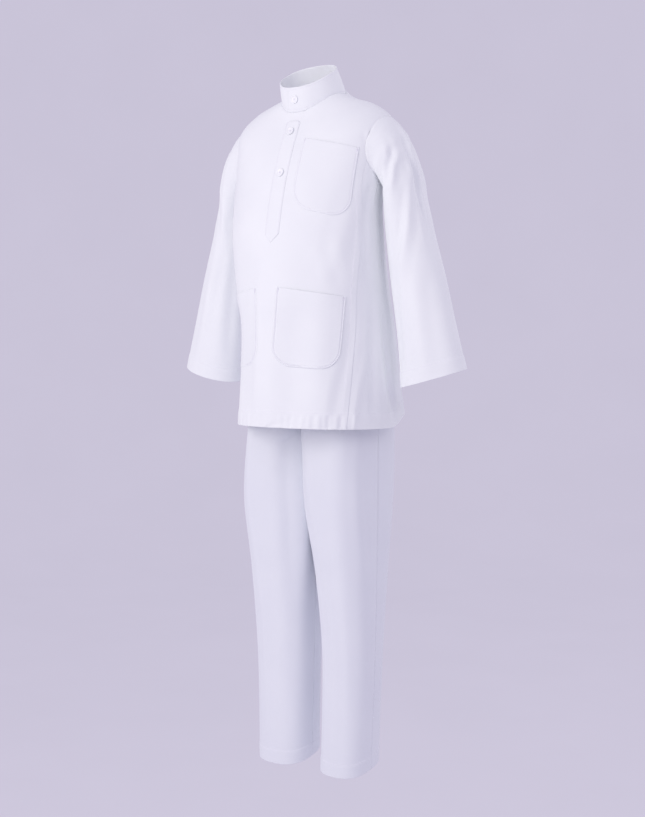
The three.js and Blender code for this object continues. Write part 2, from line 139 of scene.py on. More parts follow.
def woven_cloth(name, light, shade, roughness, twill):
    cloth = new_material(name)
    place = add_node(cloth, "ShaderNodeUVMap", uv_map="cloth").outputs["UV"]
    threads = []
    for turn in (0, math.pi / 2):
        turned = add_node(cloth, "ShaderNodeMapping", {
            "Vector": place, "Rotation": (0, 0, turn + twill),
        })
        wave = add_node(cloth, "ShaderNodeTexWave", {
            "Vector": turned.outputs["Vector"], "Scale": WAVE_PERIOD / THREAD_PITCH,
            "Distortion": 0.6, "Detail": 1.0, "Detail Scale": 0.4,
        })
        threads.append(wave.outputs["Fac"])
    weave = add_node(cloth, "ShaderNodeMath", {0: threads[0], 1: threads[1]}, operation="MULTIPLY")
    slub_place = add_node(cloth, "ShaderNodeMapping", {
        "Vector": place, "Scale": (1 / SLUB_LENGTH, 8 / SLUB_LENGTH, 1),
    })
    slubs = add_node(cloth, "ShaderNodeTexNoise", {
        "Vector": slub_place.outputs["Vector"], "Scale": 1.0, "Detail": 2.0,
    })
    pressed = add_node(cloth, "ShaderNodeTexNoise", {
        "Vector": place, "Scale": 1 / PRESSED_PATCH, "Detail": 3.0, "Roughness": 0.4,
    })
    tone = add_node(cloth, "ShaderNodeMapRange", {
        "Value": pressed.outputs["Fac"], "From Min": 0.3, "From Max": 0.7,
    })
    colour = add_node(cloth, "ShaderNodeMix", {
        "Factor": tone.outputs["Result"], "A": linear(shade), "B": linear(light),
    }, data_type="RGBA")
    rough = add_node(cloth, "ShaderNodeMapRange", {
        "Value": slubs.outputs["Fac"], "To Min": roughness - 0.06, "To Max": roughness + 0.06,
    })
    grain = add_node(cloth, "ShaderNodeBump", {
        "Height": weave.outputs["Value"], "Strength": 0.12, "Distance": 0.0002,
    })
    relief = add_node(cloth, "ShaderNodeBump", {
        "Height": slubs.outputs["Fac"], "Normal": grain.outputs["Normal"],
        "Strength": 0.10, "Distance": 0.0006,
    })
    return finished(cloth, {
        "Base Color": colour.outputs["Result"], "Roughness": rough.outputs["Result"],
        "Normal": relief.outputs["Normal"], "Sheen Weight": 0.12, "Sheen Roughness": 0.5,
        "Specular IOR Level": 0.3,
    })


tunic_poplin = woven_cloth("bleached_poplin_tunic", "#F5F8FA", "#F1F4F7", 0.78, 0.0)
trouser_twill = woven_cloth("bleached_twill_trousers", "#EBEEF4", "#E8EBF2", 0.8, math.radians(63))
print("cloths:", tunic_poplin.name, trouser_twill.name)

# %% [markdown]
# ## Buttons, thread and the studio's nylon
# The buttons are cast polyester, turned to a round rim: they are smooth and a little glossy, with
# an IOR of about 1.55. The sewing thread is spun polyester, as matt as the cloth. The floor and
# walls of the studio are a light tent: thin nylon with lamps outside it, so that the cloth itself
# glows evenly, and its faint grain of fibres hardly shows.

# %% Make the other materials
TENT_GLOW = "#D0CCD9"
TENT_STRENGTH = 0.66


def cast_polyester():
    resin = new_material("cast_polyester_button")
    place = add_node(resin, "ShaderNodeTexCoord").outputs["Object"]
    swirl = add_node(resin, "ShaderNodeTexNoise", {
        "Vector": place, "Scale": 90.0, "Detail": 2.0, "Distortion": 1.0,
    })
    colour = add_node(resin, "ShaderNodeMix", {
        "Factor": swirl.outputs["Fac"], "A": linear("#F6F9FC"), "B": linear("#FCFEFF"),
    }, data_type="RGBA")
    rough = add_node(resin, "ShaderNodeMapRange", {
        "Value": swirl.outputs["Fac"], "To Min": 0.22, "To Max": 0.34,
    })
    return finished(resin, {
        "Base Color": colour.outputs["Result"], "Roughness": rough.outputs["Result"], "IOR": 1.55,
    })


def spun_thread():
    thread = new_material("spun_polyester_thread")
    place = add_node(thread, "ShaderNodeTexCoord").outputs["Object"]
    twist = add_node(thread, "ShaderNodeTexWave", {"Vector": place, "Scale": 400.0}, wave_type="BANDS")
    colour = add_node(thread, "ShaderNodeMix", {
        "Factor": twist.outputs["Fac"], "A": linear("#EAE9F4"), "B": linear("#F6F5FC"),
    }, data_type="RGBA")
    return finished(thread, {
        "Base Color": colour.outputs["Result"], "Roughness": 0.7,
    })


def tent_nylon():
    nylon = new_material("translucent_tent_nylon")
    place = add_node(nylon, "ShaderNodeTexCoord").outputs["Object"]
    fibres = add_node(nylon, "ShaderNodeTexNoise", {"Vector": place, "Scale": 2.5, "Detail": 4.0})
    colour = add_node(nylon, "ShaderNodeMix", {
        "Factor": fibres.outputs["Fac"], "A": linear("#8A8795"), "B": linear("#93909D"),
    }, data_type="RGBA")
    return finished(nylon, {
        "Base Color": colour.outputs["Result"], "Roughness": 0.95, "Specular IOR Level": 0.0,
        "Emission Color": linear(TENT_GLOW), "Emission Strength": TENT_STRENGTH,
    })


button_resin = cast_polyester()
sewing_thread = spun_thread()
tent_cloth = tent_nylon()
print("materials:", [m.name for m in bpy.data.materials])

# %% [markdown]
# ## The tunic's form
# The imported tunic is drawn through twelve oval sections, from the hem up to the neck. The same
# short table is used here, with a smooth curve through each column, so that a finer surface lies
# on the same form. Sizes are in millimetres, and turn into metres when a mesh is made.

# %% The tunic's sections
MM = 0.001
WALL = 0.9                          # drawn thicker than real cloth, which has 0.3
LAY_WALL = 0.7                      # the wall of a piece laid on the front
LAY_GAP = 0.3                       # what it keeps from plain cloth under it
LAY_CLEAR = 0.05                    # the same where an edge is pressed down
LAY_LOWEST = 0.15                   # the least its outer face stands up
ROUNDNESS = 2.25                    # 2 is an ellipse, more is squarer
TUNIC_COLUMNS = ("left", "right", "y", "front", "back", "side_z", "front_z", "back_z")
TUNIC_SECTIONS = [
    (164, 126, 20, -135, 139, -567, -564, -546),
    (154, 119, 10, -129, 117, -405, -405, -405),
    (147, 129, 0, -127, 105, -330, -330, -330),
    (143, 141, -12, -117, 96, -249, -249, -249),
    (143, 143, -14, -105, 85, -184, -184, -184),
    (150, 150, 2, -92, 76, -120, -136, -124),
    (158, 158, 14, -79, 69, -74, -98, -78),
    (160, 160, 20, -69, 62, -41, -74, -46),
    (147, 147, 20, -62, 59, -22, -57, -22),
    (117, 117, 17, -56, 54, -3, -44, 3),
    (86, 86, 10, -51, 48, 7, -32, 20),
    (62, 55, 8, -46, 46, 17, -16, 46),
]
NECK_ROW = len(TUNIC_SECTIONS) - 1


def table(columns, sections):
    return dict(zip(columns, np.array(sections, float).T))


def along(sections, name, row):
    """A column's value at a fractional row, on a smooth curve through the table."""
    values = sections[name]
    last = len(values) - 1
    row = np.asarray(row, float)
    index = np.clip(np.floor(row).astype(int), 0, last - 1)
    before, start, end, after = (values[np.clip(index + k, 0, last)] for k in (-1, 0, 1, 2))
    t = row - index
    leave, arrive = (end - before) / 2, (after - start) / 2
    square, cube = t ** 2, t ** 3
    return (start + leave * (cube - 2 * square + t) + (end - start) * (3 * square - 2 * cube)
            + arrive * (cube - square))


def soft_power(value, power=ROUNDNESS):
    return np.sign(value) * np.abs(value) ** (2 / power)


def smooth(t):
    t = np.clip(t, 0, 1)
    return t * t * (3 - 2 * t)


def mix(a, b, t):
    return a + (b - a) * t


def bump(distance, width):
    return np.exp(-(distance / width) ** 2)


def unit(vectors):
    return vectors / np.maximum(np.linalg.norm(vectors, axis=-1, keepdims=True), 1e-9)


TUNIC = table(TUNIC_COLUMNS, TUNIC_SECTIONS)
# The hem rises behind the side seams: between these angles, and up to this section number.
HEM_RISE = {"from": 86, "to": 108, "height": 16, "row": 0.6}


def tunic_point(angle, row, sections=TUNIC):
    """The form at an angle in degrees from the centre front, and a section number."""
    turn = np.radians(angle)
    sine, cosine = np.sin(turn), np.cos(turn)
    half = np.where(sine > 0, along(sections, "left", row), along(sections, "right", row))
    middle = along(sections, "y", row)
    edge = np.where(cosine > 0, along(sections, "front", row), along(sections, "back", row))
    edge_z = np.where(cosine > 0, along(sections, "front_z", row), along(sections, "back_z", row))
    behind = np.abs((np.asarray(angle, float) + 180) % 360 - 180)
    rise = smooth((behind - HEM_RISE["from"]) / (HEM_RISE["to"] - HEM_RISE["from"]))
    rise = HEM_RISE["height"] * rise * np.clip(1 - row / HEM_RISE["row"], 0, None)
    return np.stack([
        half * soft_power(sine),
        middle + (edge - middle) * np.abs(soft_power(cosine)),
        mix(along(sections, "side_z", row), edge_z, cosine ** 2) + rise,
    ], -1)


print("hem is", round(float(np.ptp(tunic_point(np.arange(0, 360, 5), 0)[:, 0]))), "mm wide")

# %% [markdown]
# ## Where the seams run
# The side panels are straight strips on the real tunic: they run from the hem up to the armhole,
# one before and one behind each side. The armhole is an oval cut in the form, measured in degrees
# and section numbers. The front's and the back's edges follow the strips, then the armhole.

# %% Armhole and side seams
ARMHOLE = {"angle": 90, "row": 6.2, "half_angle": 29, "half_rows": 1.4}
ARMHOLE_TOP = ARMHOLE["row"] + ARMHOLE["half_rows"]
SEAM_TOP = 5.3                      # where the side panels' seams meet the armhole
SEAM_TURN = 3                       # and where they start to turn towards it
HALVINGS = 24                       # of the range, when a height is turned into a section number
SIDE_SEAMS = table(("front", "side", "back"), [
    (52, 89, 134), (62, 84, 130), (67, 95, 126), (74, 98, 118), (78, 94, 108), (72, 90, 108),
])


def armhole_reach(row):
    offset = (np.asarray(row, float) - ARMHOLE["row"]) / ARMHOLE["half_rows"]
    return ARMHOLE["half_angle"] * np.sqrt(np.clip(1 - offset ** 2, 0, None))


def armhole_floor(angle):
    offset = (angle - ARMHOLE["angle"]) / ARMHOLE["half_angle"]
    return ARMHOLE["row"] - ARMHOLE["half_rows"] * np.sqrt(np.clip(1 - offset ** 2, 0, None))


def seam_angle(name, row):
    return along(SIDE_SEAMS, name, np.minimum(row, len(SIDE_SEAMS[name]) - 1))


def seam_turn(row):
    return smooth((np.asarray(row, float) - SEAM_TURN) / (SEAM_TOP - SEAM_TURN))


def body_edge(row, side):
    """Edge of the front (side -1) or the back (side 1): side seam, armhole, then shoulder."""
    seam = seam_angle("back" if side > 0 else "front", row)
    top = ARMHOLE["angle"] + side * armhole_reach(SEAM_TOP)
    low = mix(seam, top, seam_turn(row))
    return np.where(row <= SEAM_TOP, low, ARMHOLE["angle"] + side * armhole_reach(row))


def row_at_height(angle, z):
    """Section number where the form has a given height at an angle."""
    angle, z = np.broadcast_arrays(np.asarray(angle, float), np.asarray(z, float))
    low, high = np.zeros(angle.shape), np.full(angle.shape, float(NECK_ROW))
    for _ in range(HALVINGS):
        middle = (low + high) / 2
        under = tunic_point(angle, middle)[..., 2] < z
        low, high = np.where(under, middle, low), np.where(under, high, middle)
    return (low + high) / 2


print("armhole from row", round(ARMHOLE["row"] - ARMHOLE["half_rows"], 1), "to", round(ARMHOLE_TOP, 1))

# %% [markdown]
# ## Cloth as a thin shell
# Cloth has two faces and an edge. Each piece starts as a grid of points on its outer face, in rows
# from its lower edge up. The inner face is the same grid moved in along the normals by the wall,
# and a row of points between the two rounds the edge over, as a turned or overlocked edge is. This
# keeps exact control of where the cloth lies, which a cloth simulation on a whole garment doesn't.

# %% Turn a grid of points into a cloth shell
CUT_AT = 0.6                        # a piece's width is measured below this share of its rows


def closed(grid, tube):
    """A tube's grid with its first column again at the end."""
    return np.concatenate([grid, grid[:, :1]], 1) if tube else grid


def grid_normals(points, tube=False):
    if tube:
        across = np.roll(points, -1, 1) - np.roll(points, 1, 1)
    else:
        across = np.gradient(points, axis=1)
    return unit(np.cross(across, np.gradient(points, axis=0)))


def facing_out(points):
    """A tube's grid, with its columns in the order that makes its normals point outwards."""
    away = points - points.mean(1, keepdims=True)
    return points if (grid_normals(points, True) * away).sum() > 0 else points[:, ::-1]


def measured(points, axis):
    step = np.linalg.norm(np.diff(points, axis=axis), axis=-1)
    return np.concatenate([np.zeros_like(np.take(step, [0], axis)), np.cumsum(step, axis)], axis)


cuts = {}


def cut_size(points, tube):
    """Width, length and area in metres of a piece laid flat, without its turned edges."""
    whole = closed(points, tube)
    across, up = np.diff(whole, axis=1)[:-1], np.diff(whole, axis=0)[:, :-1]
    area = np.linalg.norm(np.cross(across, up), axis=-1).sum() * MM ** 2
    width = measured(whole, 1)[:round(CUT_AT * len(points)), -1].max() * MM
    lengths = measured(whole, 0)[-1]
    return width, (lengths.max() if tube else lengths[len(lengths) // 4]) * MM, area


def new_piece(name, vertices, faces, material, scale=MM):
    """A smooth mesh, linked to the scene."""
    mesh = bpy.data.meshes.new(name)
    mesh.from_pydata((vertices * scale).tolist(), [], faces)
    mesh.shade_smooth()
    mesh.materials.append(material)
    piece = bpy.data.objects.new(name, mesh)
    bpy.context.collection.objects.link(piece)
    return piece


def cloth_shell(name, points, material, tube=False, wall=WALL, edge_roll=0.35):
    """A closed thin mesh on a grid of points in millimetres, rows first."""
    cuts[name] = cut_size(points, tube)
    rows, columns = points.shape[:2]
    wall = np.broadcast_to(wall, (rows, columns))[..., None]
    outer, inner = points, points - grid_normals(points, tube) * wall
    ids = np.arange(rows * columns).reshape(rows, columns)
    wrap = closed(ids, tube)
    a, b, c, d = wrap[:-1, :-1], wrap[:-1, 1:], wrap[1:, 1:], wrap[1:, :-1]
    face = np.stack([a, b, c, d], -1).reshape(-1, 4)
    size = rows * columns
    if tube:
        loops = [ids[0], ids[-1][::-1]]
    else:
        loops = [np.concatenate([ids[0], ids[1:, -1], ids[-1, -2::-1], ids[-2:0:-1, 0]])]
    inward = np.clip(np.arange(rows), 1, rows - 2)[:, None]
    sideways = np.arange(columns)[None] if tube else np.clip(np.arange(columns), 1, columns - 2)[None]
    out_of_edge = unit(outer - outer[np.broadcast_to(inward, (rows, columns)), sideways])
    roll = (outer + inner) / 2 + out_of_edge * wall * edge_roll
    faces, rim = [face, face[:, ::-1] + size], []
    start = 2 * size
    for loop in loops:
        rim.append(roll.reshape(-1, 3)[loop])
        ring = np.arange(start, start + len(loop))
        onward, ring_onward = np.roll(loop, -1), np.roll(ring, -1)
        faces.append(np.stack([onward, loop, ring, ring_onward], -1))
        faces.append(np.stack([ring_onward, ring, loop + size, onward + size], -1))
        start += len(loop)
    vertices = np.concatenate([outer.reshape(-1, 3), inner.reshape(-1, 3), *rim])
    faces = np.concatenate(faces)
    piece = new_piece(name, vertices, faces.tolist(), material)
    lay_out(piece.data, points, loops, faces, tube)
    return piece


def lay_out(mesh, points, loops, faces, tube):
    """The UV map "cloth": metres across and along the piece, as if it lay flat."""
    rows, columns = points.shape[:2]
    whole = closed(points, tube)
    across = measured(whole, 1)
    across -= across[:, [columns // 2]]
    flat = np.stack([across, measured(whole, 0)], -1) * MM

    def at_corners(values):
        """A value for each grid point, read at each face's corners on both walls and the rim."""
        return np.concatenate([values, values, *[values[loop] for loop in loops]])[faces]

    corners = at_corners(flat[:, :columns].reshape(-1, 2))
    if tube:
        which = at_corners(np.arange(rows * columns) % columns)
        crosses = (which.max(1) - which.min(1)) > columns / 2
        at_start = crosses[:, None] & (which == 0)
        corners[at_start] = at_corners(np.repeat(flat[:, -1], columns, 0))[at_start]
    layer = mesh.uv_layers.new(name="cloth")
    layer.data.foreach_set("uv", corners.astype(np.float32).ravel())


print("shell helpers ready, wall", WALL, "mm")

# %% [markdown]
# ## Creases
# Starched poplin falls in long, shallow folds: from the armhole down the sleeve, across the front
# of the elbow, from the hips to the hem. Each crease is a short list of places on the form that
# the eye would follow, with a width and a height in millimetres: above 0 it is a ridge, below 0 a
# trough. A trough pushes up a low shoulder on each side of it, and both ends fade out.

# %% Lay creases on a form
PATH_STEPS = 32
FADE = 0.3                          # share of a crease's length over which each end fades
SHOULDER = {"height": 0.35, "place": 2, "width": 0.8}   # in shares of its height and width


def path_through(places, form):
    """Points in space along a smooth line through places on a form."""
    stops = table(("first", "second"), places)
    share = np.linspace(0, len(places) - 1, PATH_STEPS)
    return form(along(stops, "first", share), along(stops, "second", share))


def crease_height(points, creases, form):
    """How far each point stands out of the form, in millimetres."""
    height = np.zeros(points.shape[:-1])
    for places, width, rise in creases:
        path = path_through(places, form)
        reach = 3 * width
        near = np.all((points > path.min(0) - reach) & (points < path.max(0) + reach), -1)
        if not near.any():
            continue
        start, step = path[:-1], np.diff(path, axis=0)
        offset = points[near][:, None] - start[None]
        part = np.clip((offset * step).sum(-1) / (step ** 2).sum(-1), 0, 1)
        gap = np.linalg.norm(offset - part[..., None] * step, axis=-1)
        closest = gap.argmin(1)
        share = (closest + part[np.arange(len(gap)), closest]) / (PATH_STEPS - 1)
        fade = smooth(share / FADE) * smooth((1 - share) / FADE)
        across = gap.min(1) / width
        shoulder = SHOULDER["height"] * bump(across - SHOULDER["place"], SHOULDER["width"])
        profile = bump(across, 1) - shoulder
        height[near] += rise * fade * profile
    return height


def tunic_place(angle, z):
    return tunic_point(angle, row_at_height(angle, z))


def tunic_normal(angle, row):
    run = tunic_point(angle + 0.5, row) - tunic_point(angle - 0.5, row)
    up = tunic_point(angle, row + 0.02) - tunic_point(angle, row - 0.02)
    return unit(np.cross(run, up))


# Each crease: places as (angle, height), then its width and how far it stands out.
TUNIC_CREASES = [
    # the edge of the slit, between the collar and the placket
    ([(19, -7), (12, -19), (4, -33)], 2.2, -1.3),
    # pulls from the left armhole, down the front
    ([(60, -52), (66, -78), (76, -104)], 5, 1.3),
    ([(73, -128), (62, -195), (50, -270), (44, -320)], 13, 1.3),
    ([(84, -128), (80, -190), (79, -260), (77, -330)], 7, -1.6),
    ([(40, -240), (47, -282), (52, -330)], 10, -1.2),
    # a pressed edge down the middle of the front, below the placket
    ([(-1, -225), (0, -300), (0, -400), (0, -500), (1, -600)], 34, 5.5),
    ([(-5, -262), (-5, -345), (-6, -430), (-7, -520), (-7, -575)], 11, 1.4),
    ([(19, -330), (17, -400), (16, -470), (15, -540), (15, -600)], 26, -3.8),
    ([(89, -344), (88, -420), (89, -500), (90, -575)], 6, -2.6),
    # slack above the hem, beside the left pocket
    ([(60, -330), (57, -420), (47, -510), (43, -575)], 9, -1.5),
    ([(70, -430), (63, -490), (58, -540), (56, -580)], 8, 1.9),
    ([(82, -330), (76, -420), (74, -500), (72, -570)], 8, -2.0),
    ([(92, -420), (93, -490), (98, -560)], 7, 2.0),
    ([(112, -250), (110, -360), (108, -480), (106, -550)], 9, -1.8),
    # pulls from the right armhole
    ([(-61, -56), (-67, -80), (-75, -108)], 5, 1.2),
    ([(-74, -130), (-60, -190), (-47, -262)], 12, 1.2),
    ([(-85, -132), (-80, -210), (-81, -325)], 8, -1.6),
    ([(-38, -300), (-34, -400), (-37, -520), (-38, -575)], 14, 1.4),
    ([(-66, -380), (-64, -470), (-60, -575)], 9, -1.8),
    ([(-95, -300), (-98, -420), (-102, -550)], 10, 1.7),
    # across the back, from the shoulder blades down
    ([(128, -90), (138, -160), (150, -260), (154, -380)], 13, 1.8),
    ([(118, -130), (126, -250), (130, -400), (134, -540)], 10, -1.9),
    ([(160, -330), (163, -440), (166, -530)], 12, -1.8),
    ([(178, -120), (181, -250), (179, -400), (182, -530)], 15, 1.9),
    ([(200, -240), (196, -350), (199, -530)], 11, -1.9),
    ([(222, -100), (214, -190), (205, -290)], 12, 1.6),
    ([(232, -200), (226, -330), (223, -460), (220, -535)], 11, 1.7),
    ([(240, -140), (236, -260), (235, -420), (232, -540)], 9, -1.8),
    # short puckers along the hem's stitches, none at an even distance
    *[([(angle - 0.4, -577), (angle, -557), (angle + 0.5, -538)], 3.2, 1.9 * rise) for angle, rise in (
        (-46, 0.5), (-29, -0.5), (-17, 0.4), (-1, -0.5), (9, 0.5), (15, -0.6), (23, 0.5), (30, -0.6),
        (34, 0.6), (40, -0.7), (45, 0.6), (49, -0.6), (58, 0.6), (66, -0.6), (79, 0.6),
    )],
]


def tunic_cloth(angle, row, lift=0.0):
    """The tunic's creased cloth, or something lying on it, that much higher."""
    angle, row, lift = np.broadcast_arrays(*(np.asarray(v, float) for v in (angle, row, lift)))
    base = tunic_point(angle, row)
    height = crease_height(base, TUNIC_CREASES, tunic_place) + lift
    return base + tunic_normal(angle, row) * height[..., None]


print("creases on the tunic:", len(TUNIC_CREASES))

# %% [markdown]
# ## Thread
# Lockstitch shows as a row of short, slightly sunk stitches, about 9 to 3 cm here. Each stitch is
# a small lozenge of thread, 2.5 mm long, that lies on the cloth and points along the seam. It is
# drawn 0.64 mm thick, where real thread has 0.25 mm, so that a row can be seen.

# %% Sew a row of stitches
STITCH_PITCH = 3.4
STITCH_LENGTH = 2.5
THREAD_RADIUS = 0.32
STITCH_SIDES = 6
STITCH_RINGS = ((-0.5, 0.35), (-0.25, 1), (0.25, 1), (0.5, 0.35))  # shares of length and radius


def even_line(points, normals, pitch):
    """Points a pitch apart along a line, with the line's direction and the normal at each."""
    length = measured(points[None], 1)[0]
    stops = np.arange(pitch / 2, length[-1], pitch)
    at = lambda places, line: np.stack([np.interp(places, length, line[:, k]) for k in range(3)], -1)
    run = unit(at(stops + 0.5, points) - at(stops - 0.5, points))
    return at(stops, points), run, at(stops, normals)


def line_at(points, normals, distance, target):
    """Places and normals where a distance up each column of a grid reaches a target."""
    columns = range(points.shape[1])
    return tuple(
        np.array([[np.interp(target, distance[:, k], grid[:, k, i]) for i in range(3)] for k in columns])
        for grid in (points, normals))


def ring_faces(first, rings, sides):
    """Faces of a closed shape made of rings of points: its sides, then its two ends."""
    faces = []
    for low in range(first, first + (rings - 1) * sides, sides):
        for i in range(sides):
            j = (i + 1) % sides
            faces.append((low + i, low + j, low + sides + j, low + sides + i))
    faces.append(tuple(first + i for i in reversed(range(sides))))
    faces.append(tuple(first + (rings - 1) * sides + i for i in range(sides)))
    return faces


def stitch_rows(name, lines, pitch=STITCH_PITCH, length=STITCH_LENGTH):
    """One mesh of stitches along lines, each a pair of points and outward normals."""
    turn = np.linspace(0, 2 * math.pi, STITCH_SIDES, endpoint=False)
    stitches = []
    for points, normals in lines:
        spots, run, out = even_line(points, normals, pitch)
        side = unit(np.cross(run, out))
        out = np.cross(side, run)
        rings = []
        for place, size in STITCH_RINGS:
            ring = (np.cos(turn)[None, :, None] * out[:, None]
                    + np.sin(turn)[None, :, None] * side[:, None]) * THREAD_RADIUS * size
            rings.append((spots + run * length * place)[:, None] + ring)
        stitches.append(np.stack(rings, 1).reshape(-1, 3))
    vertices = np.concatenate(stitches)
    size = len(STITCH_RINGS) * STITCH_SIDES
    faces = []
    for first in range(0, len(vertices), size):
        faces += ring_faces(first, len(STITCH_RINGS), STITCH_SIDES)
    piece = new_piece(name, vertices, faces, sewing_thread)
    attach(piece, "root")
    print(name, len(vertices) // size, "stitches")
    return piece


# %% [markdown]
# ## The front and the back
# Each is one panel from the hem to the neck. Its grid has even rows of about 3.5 mm, closer
# together at the hem, and even columns, closer together at the seams. Two things are worked in as
# relief: the turned hem, which is thicker up to its row of stitches, and the felled seams, where
# the front and back lap over the side panels and are sewn down.

# %% Sizes of the hems and seams
SEAM_GAP = 0.3
CLOTH_STEP = 3.5                    # between rows of points
BODY_COLUMNS = 96
SIDE_COLUMNS = 12
HEM_DEPTH = 27
HEM_PLY = 0.5                       # how much thicker the wall is where it is turned up
FOLD_RISE = 0.8
STITCH_SINK = 0.4
SEAM_WIDTH = 11
SEAM_RISE = 0.5
SEAM_FADE = 1.2                     # rows over which the felled seam ends under the armhole
SEAM_PRESS = 0.15                   # how deep the plain edges above it are pressed
SIDE_HEM_PLY = 0.3                  # HEM_PLY, on the side panels
BODY_SEAM_PRESS = 0.25              # how deep a side panel's edge by the front or back is pressed,
SIDE_SEAM_PRESS = 0.4               # the same for the back one's edge at the side seam,
SIDE_SEAM_RISE = 0.3                # and how far the front one's edge stands up there
SEAM_END = 12                       # rows that the seam's stitches stop short of the armhole
EDGE_STEPS = np.array([0, 0.8, 2, 4, 7, 9.5, 10.4, 11, 11.7, 12.8, 14.5])
HEM_STEPS = np.array([0, 0.8, 2, 4, 7, 11, 15, 19, 22, 24, 25.3, 26.3, 27, 27.8, 29, 31])


def stitched_fold(distance, width, rise):
    """Relief of a turned edge: raised up to its row of stitches, which sink in."""
    raised = rise * (1 - smooth((distance - width) / 1.5))
    return raised - STITCH_SINK * bump(distance - width, 0.9)


def even_rows(form, start, end, spacing, hem=False):
    """Values from start to end that are evenly spaced along a form, after a finer hem."""
    sample = np.linspace(start, end, 400)
    length = measured(form(sample)[None], 1)[0]
    first = HEM_STEPS[-1] if hem else 0
    count = max(2, int(round((length[-1] - first) / spacing)))
    stops = np.linspace(first, length[-1], count + 1)
    if hem:
        stops = np.concatenate([HEM_STEPS[:-1], stops])
    return np.interp(stops, length, sample)


ARM_ROWS = ARMHOLE["row"] + ARMHOLE["half_rows"] * np.sin(np.linspace(
    math.asin((SEAM_TOP - ARMHOLE["row"]) / ARMHOLE["half_rows"]), math.pi / 2, 44))
LOW_ROWS = even_rows(lambda r: tunic_point(np.full_like(r, 40.0), r), 0, SEAM_TOP, CLOTH_STEP, True)
TOP_ROWS = even_rows(lambda r: tunic_point(np.full_like(r, 40.0), r), ARMHOLE_TOP, NECK_ROW, CLOTH_STEP)
TUNIC_ROWS = np.concatenate([LOW_ROWS, ARM_ROWS[1:], TOP_ROWS[1:]])


def panel_shares(width, columns, left=EDGE_STEPS, right=EDGE_STEPS):
    """Shares of one row's width, closer together near the seams."""
    low, high = left / width, 1 - right[::-1] / width
    return np.concatenate([low, np.linspace(low[-1], high[0], columns + 1)[1:-1], high])


def panel_grid(form, rows, columns):
    """Angles and rows of a panel, given its form as a function of share and row."""
    shares = []
    for row in rows:
        line = form(np.linspace(0, 1, 33), np.full(33, row))
        width = max(measured(line[None], 1)[0, -1], 30)
        shares.append(panel_shares(width, columns))
    return np.array(shares), np.repeat(rows[:, None], len(shares[0]), 1)


def edge_distance(points):
    """Distance of each point from its row's two ends, in millimetres."""
    length = measured(points, 1)
    return length, length[:, -1:] - length


def pulled_in(points):
    """The panel, with both its seams pulled in by half a gap."""
    points = points.copy()
    for edge, inside in ((0, 1), (-1, -2)):
        points[:, edge] += unit(points[:, inside] - points[:, edge]) * SEAM_GAP / 2
    return points


def body_angle(share, row, side):
    if side < 0:
        return mix(-body_edge(row, -1), body_edge(row, -1), share)
    return mix(body_edge(row, 1), 360 - body_edge(row, 1), share)


def hem_height(angle, row):
    """How far up the cloth a point lies from the hem, in millimetres."""
    base = tunic_point(angle, row)
    return np.linalg.norm(base - tunic_point(angle, np.zeros_like(row)), axis=-1)


def line_up(points, normals, distance, target):
    """The same as line_at along each row, so that the line runs up the piece."""
    return line_at(*(np.swapaxes(grid, 0, 1) for grid in (points, normals, distance)), target)


hem_stitches, seam_stitches = [], []


def tunic_panel(place, rows, columns):
    """Angles, rows, distances from both edges and heights above the hem, over a panel's grid."""
    form = lambda share, row: tunic_point(*place(share, row))
    angle, row = place(*panel_grid(form, rows, columns))
    return angle, row, *edge_distance(tunic_point(angle, row)), hem_height(angle, row)


def tell(name, points, width, length):
    print(name, points.shape[:2], "width", round(float(width)), "length", round(float(length)))


def body_panel(name, side, columns):
    place = lambda share, row: (body_angle(share, row, side), row)
    angle, row, first, last, hem = tunic_panel(place, TUNIC_ROWS, columns)
    seam = np.minimum(first, last)
    felled = 1 - smooth((row - SEAM_TOP + SEAM_FADE) / SEAM_FADE)
    lift = stitched_fold(hem, HEM_DEPTH, FOLD_RISE) + felled * stitched_fold(seam, SEAM_WIDTH, SEAM_RISE)
    lift -= (1 - felled) * SEAM_PRESS * bump(seam, 2)
    points = pulled_in(tunic_cloth(angle, row, lift))
    piece = cloth_shell(name, points, tunic_poplin, wall=WALL + HEM_PLY * (hem < HEM_DEPTH))
    normals = grid_normals(points)
    rows = len(LOW_ROWS) - SEAM_END
    hem_stitches.append(line_at(points, normals, hem, HEM_DEPTH))
    for distance, turned in ((first, 1), (last, -1)):
        low = (grid[:rows, ::turned] for grid in (points, normals, distance))
        seam_stitches.append(line_up(*low, SEAM_WIDTH))
    tell(name, points, first[0, -1], measured(points, 0)[-1, points.shape[1] // 2])
    return piece


tunic_front = body_panel("tunic_front", -1, BODY_COLUMNS)
tunic_back = body_panel("tunic_back", 1, BODY_COLUMNS)

# %% [markdown]
# ## The side panels
# Two narrow strips make up each side, and meet in a plain seam under the arm. A long strip like
# this is what gives the tunic its straight fall from the armhole.

# %% Make the side panels
def side_place(hand, side, share, row):
    """Angle and row of a side panel's point: share 0 is the body seam, 1 the side seam."""
    seam = body_edge(row, side)
    middle = mix(seam_angle("side", row), ARMHOLE["angle"], seam_turn(row))
    top = mix(body_edge(SEAM_TOP, side), ARMHOLE["angle"], share)
    return hand * mix(seam, middle, share), row * armhole_floor(top) / SEAM_TOP


